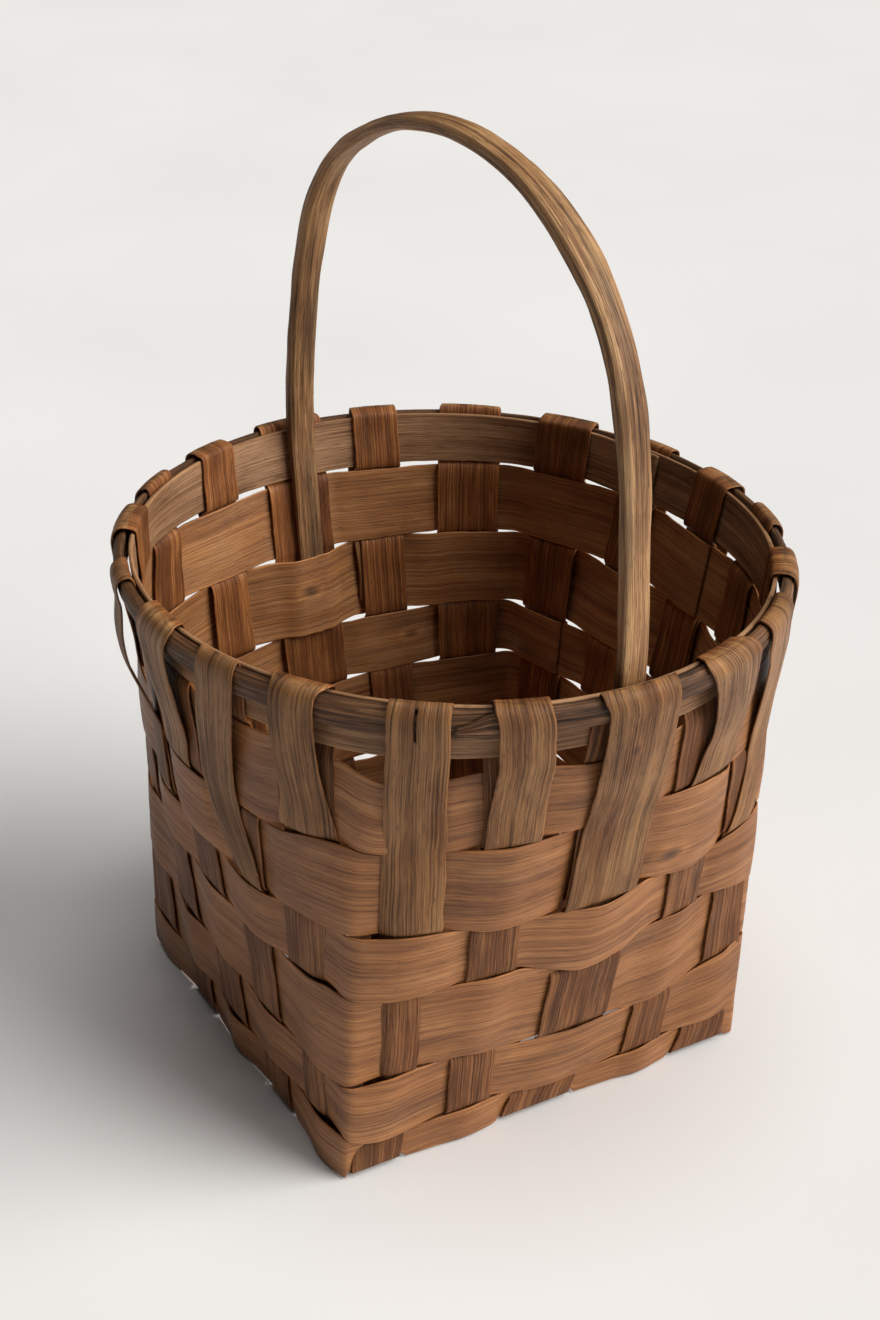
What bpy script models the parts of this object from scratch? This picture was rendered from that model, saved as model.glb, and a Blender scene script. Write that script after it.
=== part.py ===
"""Woven splint fruit basket, built the way the basket maker builds it.

Ten flat wood splints cross in a square plain-woven base (five one way, five the
other).  Each one turns up at the base edge, so the ten make twenty upright
stakes.  Six wider splints go round them as closed rows with lapped ends.  An
inner and an outer hoop grip the stake tops, every stake end is folded outward
over the rim and tucked back down behind a row, and one bent bow is pushed down
inside the hoops at the middle stakes of the two opposite sides.

Metres, +Z up.  The origin is the centre of the square base, on its underside.
The bow stands in the XZ plane.
"""
import math

import bmesh
import bpy
import numpy as np
from mathutils import Vector

# ------------------------------------------------------------ dimensions
MM = 0.001
BASE_SIDE = 0.2108            # square base, outside
WALL_TOP = 0.248              # top edge of the inner hoop
RIM_RX = 0.150                # rim half-axis in the plane of the bow
RIM_RY = 0.1388               # rim half-axis across it
RIM_CX = 0.0092               # the rim has settled a little off the base centre
RIM_CY = 0.0028
FLARE = 1.25                  # how late the wall changes from square to round
BELLY = 0.002                 # outward bow of the wall at half height

SPLINT_T = 1.0 * MM           # thickness of stakes and weavers
GAP = 0.4 * MM                # clearance between pieces that lie together
LAY = SPLINT_T + GAP          # centre to centre of two splints lying together
HOOP_T = 2.0 * MM             # inner hoop thickness
HOOP_Z0, HOOP_Z1 = 0.2235, WALL_TOP
OUTER_IN = 3.05 * MM          # inner face of the outer hoop, out from the wall line
OUTER_T = 5.2 * MM            # its thickness
OUTER_ZC, OUTER_HZ = 0.2422, 6.5 * MM
TAIL_OUT = 9.45 * MM          # a folded-down end where it passes the outer hoop

PITCH = BASE_SIDE / 5         # stake spacing along a base side
NROWS = 6
# rows: lower and upper edge at the front corner, then at the back corner
ROWS = {1: (5.0, 20.5, 5.0, 25.5),
        2: (23.0, 53.5, 28.5, 65.0),
        3: (56.5, 98.5, 68.0, 111.0),
        4: (101.5, 131.0, 114.0, 142.0),
        5: (134.0, 177.0, 145.0, 182.5),
        6: (180.5, 220.5, 186.0, 221.0)}
# stake on whose inner side the two ends of a row lap
ROW_LAP = {1: 10, 2: 9, 3: 8, 4: 11, 5: 8, 6: 9}
HOOP_LAP = 10

# Stakes are numbered -3..16 round the basket, 4 being the middle of the +X side,
# 9 of +Y, 14 of -X and -1 of -Y.  Each line is a stake: width in mm, then its
# sideways drift from the even spacing at foot, middle and rim, in pitches.
STAKES = {
    -3: (27, 0.00, 0.02, 0.05), -2: (24, 0.00, 0.03, 0.15), -1: (25, 0.00, 0.02, 0.12),
    0: (23, 0.00, 0.00, 0.03), 1: (27, 0.06, -0.05, -0.06), 2: (23.5, -0.10, 0.03, -0.02),
    3: (22.5, -0.08, 0.06, -0.16), 4: (35, -0.14, 0.19, -0.06), 5: (22, 0.06, 0.21, -0.13),
    6: (27, -0.08, 0.10, -0.05), 7: (27, 0.00, 0.00, -0.08), 8: (24, 0.02, 0.00, -0.08),
    9: (25, 0.00, -0.02, -0.15), 10: (24, 0.00, 0.04, -0.14), 11: (29, 0.00, 0.03, -0.10),
    12: (31, 0.00, 0.06, 0.02), 13: (23, 0.00, 0.05, 0.10), 14: (33, 0.00, 0.02, 0.10),
    15: (22, 0.00, 0.02, 0.20), 16: (23, 0.00, 0.02, 0.16)}
# Folded-down stake ends: width in mm, then how far each lies to the side of its
# own stake at the rim, at 225, 200 and 175 mm height and at its tucked end, in mm.
TAILS = {
    -3: (25, 0, 1, 2, 2, 1), -2: (17, 0, 3, 5, 4, 2), -1: (22, 1, 3, 5, 6, 5),
    0: (22.5, 0, -5, -8, -6, 1), 1: (24, -4, -4, -2, 2, 2), 2: (25.5, 0, 1, 3, 4, 4),
    3: (22.5, 0, 4, 3, 2, 2), 4: (34, 0, 2, 1, -1, -3), 5: (25, 6, 12, 9, 1, 0),
    6: (24, 2, 12, 8, 0, -7), 7: (25, 0, 2, 3, 2, 0), 8: (22, 1, 3, 2, 0, -2),
    9: (23, 0, -2, -3, -2, 0), 10: (22, -1, -3, -2, 0, 2), 11: (26, 0, 2, 3, 2, 1),
    12: (28, 0, 1, -1, -2, -2), 13: (21, 0, 2, 4, 3, 1), 14: (30, 1, 0, -2, -2, -1),
    15: (20, 0, -2, -3, -1, 0), 16: (21, 0, 1, 3, 3, 2)}
TAIL_Z = (238.0, 225.0, 200.0, 175.0, 110.0)      # heights those drifts refer to
TAIL_BOW = {-2: 5.0}          # mm: the loose end that stands away from the wall

# the bow
BOW_W, BOW_T = 13.5 * MM, 6.8 * MM
# hand-bent outline of the bow: the leg at +X stands upright, the one at -X leans in (mm)
BOW_SHAPE = ((155.0, 262), (153.5, 300), (149.0, 345), (138.5, 379), (117.0, 403.5),
             (78.0, 425), (30.0, 433.5), (-16.0, 429), (-53.0, 416.5), (-86.0, 397.5),
             (-107.0, 373), (-119.5, 345), (-128.5, 312), (-135.5, 270))
LEG_END_Z = 0.150             # its legs end here, behind the fifth row
BOW_STAKES = (4, 14)

SPLINTS = [("splint_a%d" % (i + 1), 2 + i, 16 - i) for i in range(5)] \
    + [("splint_b%d" % (j + 1), 1 - j, 7 + j) for j in range(5)]

COLOURS = {"stake": (0.205, 0.118, 0.062, 1), "weaver": (0.238, 0.132, 0.066, 1),
           "hoop": (0.150, 0.088, 0.050, 1), "bow": (0.290, 0.170, 0.078, 1)}


# ------------------------------------------------------------ wall surface
def lerp(a, b, t):
    return a + (b - a) * t


def blend(z):
    """0 at the base, where the wall is square, to 1 at the round rim."""
    return max(z, 0.0) / WALL_TOP if z <= 0 else (min(z, WALL_TOP * 1.02) / WALL_TOP) ** FLARE


def side_of(k):
    return math.floor((k - 1.5) / 5.0)


def stake_pos(k, z):
    """Position along the outline, in stake numbers, of stake k at height z."""
    _, foot, mid, rim = STAKES[k]
    t = min(max(z / WALL_TOP, 0.0), 1.0)
    w = blend(z)
    return k + lerp(foot, rim, w) + mid * math.sin(math.pi * t)


def frame(k, z):
    """Centre of stake k at height z on the wall line, tangent and outward normal."""
    s, w, n = stake_pos(k, z), blend(z), side_of(k)
    a = n * math.pi / 2
    mid_k = 4 + 5 * n
    u, v = BASE_SIDE / 2, (s - mid_k) * PITCH
    foot = np.array([math.cos(a) * u - math.sin(a) * v, math.sin(a) * u + math.cos(a) * v])
    th = math.radians((s - 4) * 18)
    rim = np.array([RIM_CX + RIM_RX * math.cos(th), RIM_CY + RIM_RY * math.sin(th)])
    nr = math.atan2(math.sin(th) / RIM_RY, math.cos(th) / RIM_RX)
    nr += 2 * math.pi * round((a - nr) / (2 * math.pi))
    phi = lerp(a, nr, w)
    nor = np.array([math.cos(phi), math.sin(phi), 0.0])
    tan = np.array([-math.sin(phi), math.cos(phi), 0.0])
    t = min(max(z / WALL_TOP, 0.0), 1.0)
    c = np.array([*(foot * (1 - w) + rim * w), z]) + nor * BELLY * math.sin(math.pi * t)
    return c, tan, nor


def row_edges(r, k):
    """Lower and upper edge of row r where it passes stake k."""
    b = (1 - math.cos(2 * math.pi * (k - 2.5) / 20)) / 2
    f0, f1, b0, b1 = ROWS[r]
    return lerp(f0, b0, b) * MM, lerp(f1, b1, b) * MM


def stake_outside(k, r):
    return (k + r) % 2 == 1


# ------------------------------------------------------------ layers at each crossing
def layers(k, r):
    """Offsets out from the wall line of (stake, weaver, folded end) at a crossing."""
    over = r >= (5 if k % 2 else 4)               # the folded end reaches this row
    tuck = r == (5 if k % 2 else 4)               # and ends behind it
    half = LAY / 2
    if tuck:
        lay = (-1.0 * MM, -1.0 * MM + 2 * LAY, -1.0 * MM + LAY)
    elif stake_outside(k, r):
        lay = (half, -half, half + LAY if over else None)
    else:
        lay = (-half, half, half + LAY if over else None)
    if k in BOW_STAKES and r == 6:
        lay = (-0.5 * MM, -0.5 * MM + LAY, -0.5 * MM + 2 * LAY)
    if k in BOW_STAKES and r == 5:
        lay = (0.0, -1.6 * MM, 2.1 * MM)
    return lay


def zone(k, z, r):
    """Sideways reach, from the stake's centre, of everything a row passes at stake k."""
    half = STAKES[k][0] * MM / 2
    lo, hi = -half, half
    if r >= (5 if k % 2 else 4):
        d, hw = tail_shift(k, z), TAILS[k][0] * MM / 2
        lo, hi = min(lo, d - hw), max(hi, d + hw)
    return lo - 0.8 * MM, hi + 0.8 * MM


def tail_shift(k, z):
    zs = [v * MM for v in TAIL_Z][::-1]
    ds = [v * MM for v in TAILS[k][1:]][::-1]
    return float(np.interp(z, zs, ds))


# ------------------------------------------------------------ splints
def stake_run(k):
    """Stations up stake k: wall, fold over the rim, folded-down end.

    A station is (centre, side vector, half width, outward normal, tag).  Stations
    that share a tag belong to one crossing, and its sign says to which side the
    twisted face between them may stand proud: a stake only inward, an end lying
    over it only outward.
    """
    out = []
    half = STAKES[k][0] * MM / 2

    def at(z, off, lateral=0.0, hw=half, tag=None):
        c, tan, nor = frame(k, z)
        out.append((c + nor * off + tan * lateral, tan, hw, nor, tag))

    for r in range(1, NROWS + 1):
        z0, z1 = row_edges(r, k)
        off = layers(k, r)[0]
        at(z0, off, tag=("stake", r, -1))
        at(z1, off, tag=("stake", r, -1))
    outside = k % 2 == 0
    rim = HOOP_T / 2 + GAP + SPLINT_T / 2
    at(HOOP_Z0 - 0.3 * MM, rim if outside else -rim, tag=("stake", 7, -1))
    hw = TAILS[k][0] * MM / 2
    sh = tail_shift(k, TAIL_Z[0] * MM)
    if outside:
        fold = [(1.9, 247.5, 0), (2.15, 249.5, 0.1), (3.2, 250.3, 0.3)]
    else:
        fold = [(-1.9, 247.4, 0), (-1.75, 249.3, 0.1), (-0.6, 250.1, 0.2), (3.1, 250.6, 0.4)]
    fold += [(6.2, 249.8, 0.6), (8.45, 247.6, 0.8), (9.45, 243.5, 1), (9.45, 238.0, 1)]
    for i, (off, zz, f) in enumerate(fold):
        tag = ("stake", 7, -1) if i == 0 else (("end", 8, 1) if f == 1 else None)
        at(zz * MM, off * MM, lerp(0.0, sh, f), lerp(half, hw, f), tag)
    # the folded end falls away from the hoop on to the wall and behind a row
    stop = 5 if k % 2 else 4
    bow = TAIL_BOW.get(k, 0.0) * MM
    z6 = row_edges(6, k)
    lay6 = layers(k, 6)[2]
    for f, q in ((0.22, 0.20), (0.5, 0.52), (0.78, 0.84)):
        z = lerp(0.236, z6[0] + 6 * MM, f)
        at(z, lerp(TAIL_OUT, lay6, q) + bow * math.sin(math.pi * f), tail_shift(k, z), hw,
           ("end", 6, 1))
    at(z6[0], lay6, tail_shift(k, z6[0]), hw, ("end", 6, 1))
    for r in range(5, stop - 1, -1):
        z0, z1 = row_edges(r, k)
        off = layers(k, r)[2]
        at(z1, off, tail_shift(k, z1), hw, ("end", r, 1))
        if r == stop:
            z0 = z0 + 7 * MM
        at(z0, off, tail_shift(k, z0), hw, ("end", r, 1))
    return out


def foot_point(k):
    c, tan, nor = frame(k, 0.0)
    return c, tan, nor


def base_run(ka, kb, family, index):
    """Stations across the base from stake kb's foot to stake ka's foot."""
    ca, _, na = foot_point(ka)
    cb, _, nb = foot_point(kb)
    wa, wb = STAKES[ka][0] * MM / 2, STAKES[kb][0] * MM / 2
    along = (ca - cb)[:2]
    run = np.linalg.norm(along)
    along = along / run
    side = np.array([-along[1], along[0], 0.0])
    low, high = SPLINT_T / 2, SPLINT_T * 1.5 + GAP + 0.1 * MM
    others = [s for s in SPLINTS if s[0][7] != family]
    marks = []
    for j, (_, kc, kd) in enumerate(others):
        level = high if ((index + j) % 2 == 0) == (family == "a") else low
        pc, pd = foot_point(kc)[0][:2], foot_point(kd)[0][:2]
        # where that splint's centre line meets this one
        d = pd - pc
        m = np.array([along, -d]).T
        t = np.linalg.solve(m, pc - cb[:2])[0]
        hw = lerp(STAKES[kc][0], STAKES[kd][0], 0.5) * MM / 2 + 1.2 * MM
        if j in (0, 4):
            hw = max(STAKES[kc][0], STAKES[kd][0]) * MM / 2 + 0.6 * MM
        marks.append((t, hw, level))
    marks.sort()
    out = []

    def bend(c, nor, k, level, rising):
        off = layers(k, 1)[0]
        pts = [(off, 5.0 * MM, None), (off - 0.35 * MM, level + 1.3 * MM, 0),
               (off - 1.75 * MM, level + 0.2 * MM, 0), (off - 3.6 * MM, level, 0)]
        _, tan, _ = foot_point(k)
        hw = STAKES[k][0] * MM / 2
        sgn = 1.0 if np.dot(tan, side) > 0 else -1.0
        st = []
        for o, z, flag in pts[1:]:
            p = c + nor * o
            p[2] = z
            st.append((p, tan * sgn, hw, nor, None))
        return st if not rising else st[::-1]

    out += bend(cb, nb, kb, marks[0][2], False)
    for t, hw, level in marks:
        for tt in (t - hw, t + hw):
            tt = min(max(tt, 4.2 * MM), run - 4.2 * MM)
            f = tt / run
            p = np.array([*(cb[:2] + along * tt), level])
            out.append((p, side, lerp(wb, wa, f), np.array([0.0, 0.0, 1.0]), None))
    out += bend(ca, na, ka, marks[-1][2], True)
    return out, side


def splint_stations(name, ka, kb):
    family, index = name[7], int(name[8]) - 1
    base, side = base_run(ka, kb, family, index)
    up_a, up_b = stake_run(ka), stake_run(kb)
    sa = 1.0 if np.dot(up_a[0][1], side) > 0 else -1.0
    sb = 1.0 if np.dot(up_b[0][1], side) > 0 else -1.0
    st = [(p, v * sb, h, n, t) for p, v, h, n, t in reversed(up_b)]
    st += base
    st += [(p, v * sa, h, n, t) for p, v, h, n, t in up_a]
    return [(p - v * h, p + v * h, n, t) for p, v, h, n, t in st]


# ------------------------------------------------------------ rows and hoops
def ring_knots(r, lap, z_edges, offset, bulge):
    """Edge points round the basket, starting and ending in a lap at stake `lap`."""
    out = []
    for i in range(21):
        kk = lap + i
        k = (kk + 3) % 20 - 3
        z0, z1 = z_edges(k)
        off = offset(k)
        tag = ("zone", i, bulge(k))
        ends = [(0, 0.0), (1, 0.0)]
        if i == 0:                                # the first end lies inside the last
            off -= (HOOP_T + GAP) if r == 7 else LAY
            ends = [(0, 3.0 * MM), (1, 0.0)]
        elif i == 20:
            ends = [(0, 0.0), (1, -3.0 * MM)]
        knots = [(e, extra, off) for e, extra in ends]
        if k in BOW_STAKES and r == 5:            # the row passes inside the bow's leg
            knots = [knots[0], (-7.6 * MM, None, -5.5 * MM), (7.6 * MM, None, -5.5 * MM), knots[1]]
        for e, extra, o in knots:
            pair = []
            for z in (z0 + 0.4 * MM, z1 - 0.4 * MM):
                c, tan, nor = frame(k, z)
                lat = e if extra is None else zone(k, z, r)[e] + extra
                pair.append(c + tan * lat + nor * o)
            out.append((pair[0], pair[1], nor, tag))
        if i < 20 and k % 5 == 1:                 # round the corner of the square part
            nk = (kk + 1 + 3) % 20 - 3
            y0, y1 = z_edges(nk)
            pair = []
            for za, zb in ((z0 + 0.4 * MM, y0 + 0.4 * MM), (z1 - 0.4 * MM, y1 - 0.4 * MM)):
                ca, ta, na = frame(k, za)
                cb, tb, nb = frame(nk, zb)
                pa = ca + ta * zone(k, za, r)[1] + na * off
                pb = cb + tb * zone(nk, zb, r)[0] + nb * offset(nk)
                nm = (na + nb) / np.linalg.norm(na + nb)
                pair.append((pa + pb) / 2 + nm * 1.6 * MM * (1 - blend(za)) ** 2)
            out.append((pair[0], pair[1], nm, None))
    return out


def row_knots(r):
    return ring_knots(r, ROW_LAP[r], lambda k: row_edges(r, k), lambda k: layers(k, r)[1],
                      lambda k: -1 if stake_outside(k, r) else 1)


def hoop_knots():
    return ring_knots(7, HOOP_LAP, lambda k: (HOOP_Z0, HOOP_Z1 + 0.4 * MM), lambda k: 0.0,
                      lambda k: 1 if k % 2 else -1)


def outer_profile(inner, outer):
    """Half-round section between two offsets, as (offset, height) pairs."""
    reach = OUTER_IN + OUTER_T
    m = 2.4
    x = min(max((inner + 0.7 * MM - OUTER_IN) / OUTER_T, 0.0), 0.97)
    top = (1 - x ** m) ** (1 / m) if inner > OUTER_IN else 1.0
    pts = [(inner, OUTER_ZC + OUTER_HZ * top * 0.98)]
    for f in (0.9, 0.6, 0.0, -0.6, -0.9):
        h = f * top
        o = OUTER_IN + OUTER_T * (1 - abs(h) ** m) ** (1 / m)
        pts.append((min(o, outer, reach), OUTER_ZC + OUTER_HZ * h))
    pts.append((inner, OUTER_ZC - OUTER_HZ * top * 0.98))
    return pts


def outer_sections():
    """Sections of the outer hoop, whose two ends scarf over stakes 2 and 3."""
    full_in, full_out = OUTER_IN, OUTER_IN + OUTER_T
    plan = [(2, 1, 1.5, 6.9, None), (3, 0, 0.0, 5.7, None), (3, 1, 0.0, 4.4, None)]
    for i in range(4, 22):
        k = (i + 3) % 20 - 3
        plan += [(k, 0, 0.0, None, None), (k, 1, 0.0, None, None)]
    plan += [(2, 0, 0.0, None, None), (2, 1, 0.0, None, 6.45), (3, 0, 0.0, None, 5.25), (3, 1, -1.0, None, 3.95)]
    secs = []
    for k, e, extra, a, b in plan:
        inner = full_in if a is None else a * MM
        outer = full_out if b is None else b * MM
        ring = []
        for off, z in outer_profile(inner, outer):
            c, tan, nor = frame(k, z)
            ring.append(c + tan * (zone(k, z, 8)[e] + extra * MM) + nor * off)
        secs.append(ring)
    return secs


# ------------------------------------------------------------ bow
def bow_curve(u):
    """Centre line of the bow at u = 0..1 from +X to -X: a smooth curve through BOW_SHAPE."""
    pts = [np.array([x * MM, 0.0, z * MM]) for x, z in BOW_SHAPE]
    pts = [2 * pts[0] - pts[1]] + pts + [2 * pts[-1] - pts[-2]]
    steps = [np.linalg.norm(b - a) ** 0.5 for a, b in zip(pts[1:-2], pts[2:-1])]
    total, at = sum(steps), 0.0
    for i, step in enumerate(steps):
        if u * total <= at + step + 1e-9 or i == len(steps) - 1:
            t = (u * total - at) / step
            p0, p1, p2, p3 = pts[i:i + 4]
            return 0.5 * (2 * p1 + (p2 - p0) * t + (2 * p0 - 5 * p1 + 4 * p2 - p3) * t * t
                          + (3 * p1 - p0 - 3 * p2 + p3) * t ** 3)
        at += step


def bow_sections():
    def ring(c, wide, deep, w, t):
        pts = []
        for i in range(8):
            a = math.pi / 8 + i * math.pi / 4
            ca, sa = math.cos(a), math.sin(a)
            x = math.copysign(abs(ca) ** 0.62, ca) * w / 2 * 1.06
            y = math.copysign(abs(sa) ** 0.62, sa) * t / 2
            y = min(max(y, -t / 2), t / 2)
            pts.append(c + wide * min(max(x, -w / 2), w / 2) + deep * y)
        return pts

    def leg(k):
        out = []
        for z, t, w, face in ((LEG_END_Z / MM, 2.4, 11.0, 0.9), (164, 2.7, 12.0, 1.05),
                              (180, 3.2, 12.6, 1.42), (200, 4.3, 13.0, 1.42),
                              (222, 5.6, 13.3, 1.42), (243, 6.5, 13.5, 1.42)):
            c, tan, nor = frame(k, z * MM)
            lat = -c[1] / tan[1] + (0.8 * MM if tan[1] > 0 else -0.8 * MM)
            p = c + tan * lat - nor * (face + t / 2) * MM
            out.append((p, tan, nor, w * MM, t * MM))
        return out

    right, left = leg(4), leg(14)
    stations = list(right)
    tr, tl = right[-1][1], -left[-1][1]
    yr, yl = right[-1][0][1], left[-1][0][1]
    n = 30
    for i in range(n + 1):
        f = i / n
        p, q, o = bow_curve(f), bow_curve(min(f + 0.01, 1.0)), bow_curve(max(f - 0.01, 0.0))
        p[1] = lerp(yr, yl, f)
        wide = lerp(tr, tl, f)
        wide = wide / np.linalg.norm(wide)
        d = q - o
        d[1] = 0
        d /= np.linalg.norm(d)
        deep = np.cross(wide, d)
        deep /= np.linalg.norm(deep)
        stations.append((p, wide, deep, BOW_W, BOW_T))
    stations += [(p, -t, nrm, w, th) for p, t, nrm, w, th in reversed(left)]
    return [ring(*s) for s in stations]


# ------------------------------------------------------------ building
def link(name, mesh, parts, colour):
    obj = bpy.data.objects.new(name, mesh)
    parts.objects.link(obj)
    mat = bpy.data.materials.new(name + "_wood")
    mat.use_nodes = True
    b = mat.node_tree.nodes["Principled BSDF"]
    b.inputs["Base Color"].default_value = COLOURS[colour]
    b.inputs["Roughness"].default_value = 0.72
    b.inputs["Metallic"].default_value = 0.0
    mesh.materials.append(mat)
    return obj


def make_strip(name, stations, thickness, parts, colour):
    """A flat splint: a grid one square wide, laid along its path and thickened."""
    n = len(stations)
    bm = bmesh.new()
    bmesh.ops.create_grid(bm, x_segments=n - 1, y_segments=1, size=1.0)
    index = {}
    for v in bm.verts:
        i, j = int(round((v.co.x + 1) / 2 * (n - 1))), 0 if v.co.y < 0 else 1
        v.co = stations[i][j]
        index[v] = (i, j)
    for face in list(bm.faces):
        corner = {index[v]: v for v in face.verts}
        i = min(c[0] for c in corner)
        a0, a1, b0, b1 = (corner[c] for c in ((i, 0), (i, 1), (i + 1, 0), (i + 1, 1)))
        tag, nxt = stations[i][3], stations[i + 1][3]
        first = (a0.co - b1.co).length <= (a1.co - b0.co).length
        if tag is not None and tag == nxt:
            out = Vector(stations[i][2])
            first = ((a0.co + b1.co - a1.co - b0.co).dot(out) > 0) == (tag[2] > 0)
        bmesh.utils.face_split(face, *((a0, b1) if first else (a1, b0)))
    mesh = bpy.data.meshes.new(name)
    bm.to_mesh(mesh)
    bm.free()
    mesh.shade_smooth()
    obj = link(name, mesh, parts, colour)
    sol = obj.modifiers.new("thickness", "SOLIDIFY")
    sol.thickness = thickness
    sol.offset = 0.0
    sol.use_even_offset = True
    return obj


def make_loft(name, rings, parts, colour):
    """A solid lofted through unlike sections, closed by a face at each end."""
    bm = bmesh.new()
    vs = [[bm.verts.new(p) for p in ring] for ring in rings]
    m = len(vs[0])
    for a, b in zip(vs[:-1], vs[1:]):
        for i in range(m):
            bm.faces.new((a[i], a[(i + 1) % m], b[(i + 1) % m], b[i]))
    bm.faces.new(vs[0])
    bm.faces.new(vs[-1])
    bmesh.ops.recalc_face_normals(bm, faces=bm.faces)
    mesh = bpy.data.meshes.new(name)
    bm.to_mesh(mesh)
    bm.free()
    mesh.shade_smooth()
    return link(name, mesh, parts, colour)


def main():
    for o in list(bpy.data.objects):
        bpy.data.objects.remove(o, do_unlink=True)
    parts = bpy.data.collections.new("woven_fruit_basket")
    bpy.context.scene.collection.children.link(parts)
    for name, ka, kb in SPLINTS:
        make_strip(name, splint_stations(name, ka, kb), SPLINT_T, parts, "stake")
    for r in range(1, NROWS + 1):
        make_strip("weaver_row%d" % r, row_knots(r), SPLINT_T, parts, "weaver")
    make_strip("rim_hoop_inner", hoop_knots(), HOOP_T, parts, "hoop")
    make_loft("rim_hoop_outer", outer_sections(), parts, "hoop")
    make_loft("bow_handle", bow_sections(), parts, "bow")


main()
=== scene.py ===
"""Woven splint fruit basket: the visible wood.

Every CAD solid is replaced by a finer piece laid along the same run: splints with
rounded, uneven edges, a slight crown and raised grain, weavers that bulge over the
stakes they pass, hoops with split ridges and a whittled bow.
"""

import math

import bpy
import numpy as np
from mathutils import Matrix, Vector


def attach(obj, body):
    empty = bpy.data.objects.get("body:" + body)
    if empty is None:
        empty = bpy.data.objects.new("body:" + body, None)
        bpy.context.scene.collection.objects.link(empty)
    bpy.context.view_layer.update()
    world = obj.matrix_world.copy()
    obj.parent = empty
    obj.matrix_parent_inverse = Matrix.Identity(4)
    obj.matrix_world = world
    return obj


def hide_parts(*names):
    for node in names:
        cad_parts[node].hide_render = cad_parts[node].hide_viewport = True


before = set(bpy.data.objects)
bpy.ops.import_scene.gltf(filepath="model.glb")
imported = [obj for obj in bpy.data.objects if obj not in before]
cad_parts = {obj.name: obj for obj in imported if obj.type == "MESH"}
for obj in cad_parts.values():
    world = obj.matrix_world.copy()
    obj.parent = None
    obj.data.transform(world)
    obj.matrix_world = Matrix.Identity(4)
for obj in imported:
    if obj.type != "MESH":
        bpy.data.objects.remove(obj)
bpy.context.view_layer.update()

# ------------------------------------------------------------ the basket's own dimensions
MM = 0.001
BASE_SIDE = 0.2108
WALL_TOP = 0.248
RIM_RX, RIM_RY = 0.150, 0.1388
RIM_CX, RIM_CY = 0.0092, 0.0028
FLARE = 1.25
BELLY = 0.002
SPLINT_T = 0.8 * MM
LAY = 1.4 * MM
HOOP_T = 1.9 * MM
HOOP_Z0, HOOP_Z1 = 0.2235, WALL_TOP
OUTER_IN = 3.05 * MM
OUTER_T = 5.2 * MM
OUTER_ZC, OUTER_HZ = 0.2422, 6.5 * MM
TAIL_OUT = 9.45 * MM
PITCH = BASE_SIDE / 5
NROWS = 6
ROWS = {1: (5.0, 20.5, 5.0, 25.5), 2: (23.0, 53.5, 28.5, 65.0), 3: (56.5, 98.5, 68.0, 111.0),
        4: (101.5, 131.0, 114.0, 142.0), 5: (134.0, 177.0, 145.0, 182.5), 6: (180.5, 220.5, 186.0, 221.0)}
ROW_LAP = {1: 10, 2: 9, 3: 8, 4: 11, 5: 8, 6: 9}
HOOP_LAP = 10
STAKES = {
    -3: (27, 0.00, 0.02, 0.05), -2: (24, 0.00, 0.03, 0.15), -1: (25, 0.00, 0.02, 0.12),
    0: (23, 0.00, 0.00, 0.03), 1: (27, 0.06, -0.05, -0.06), 2: (23.5, -0.10, 0.03, -0.02),
    3: (22.5, -0.08, 0.06, -0.16), 4: (35, -0.14, 0.19, -0.06), 5: (22, 0.06, 0.21, -0.13),
    6: (27, -0.08, 0.10, -0.05), 7: (27, 0.00, 0.00, -0.08), 8: (24, 0.02, 0.00, -0.08),
    9: (25, 0.00, -0.02, -0.15), 10: (24, 0.00, 0.04, -0.14), 11: (29, 0.00, 0.03, -0.10),
    12: (31, 0.00, 0.06, 0.02), 13: (23, 0.00, 0.05, 0.10), 14: (33, 0.00, 0.02, 0.10),
    15: (22, 0.00, 0.02, 0.20), 16: (23, 0.00, 0.02, 0.16)}
TAILS = {
    -3: (25, 0, 1, 2, 2, 1), -2: (17, 0, 3, 5, 4, 2), -1: (22, 1, 3, 5, 6, 5),
    0: (22.5, 0, -5, -8, -6, 1), 1: (24, -4, -4, -2, 2, 2), 2: (25.5, 0, 1, 3, 4, 4),
    3: (22.5, 0, 4, 3, 2, 2), 4: (34, 0, 2, 1, -1, -3), 5: (25, 6, 12, 9, 1, 0),
    6: (24, 2, 12, 8, 0, -7), 7: (25, 0, 2, 3, 2, 0), 8: (22, 1, 3, 2, 0, -2),
    9: (23, 0, -2, -3, -2, 0), 10: (22, -1, -3, -2, 0, 2), 11: (26, 0, 2, 3, 2, 1),
    12: (28, 0, 1, -1, -2, -2), 13: (21, 0, 2, 4, 3, 1), 14: (30, 1, 0, -2, -2, -1),
    15: (20, 0, -2, -3, -1, 0), 16: (21, 0, 1, 3, 3, 2)}
TAIL_Z = (238.0, 225.0, 200.0, 175.0, 110.0)
TAIL_BOW = {-2: 5.0}
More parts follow.
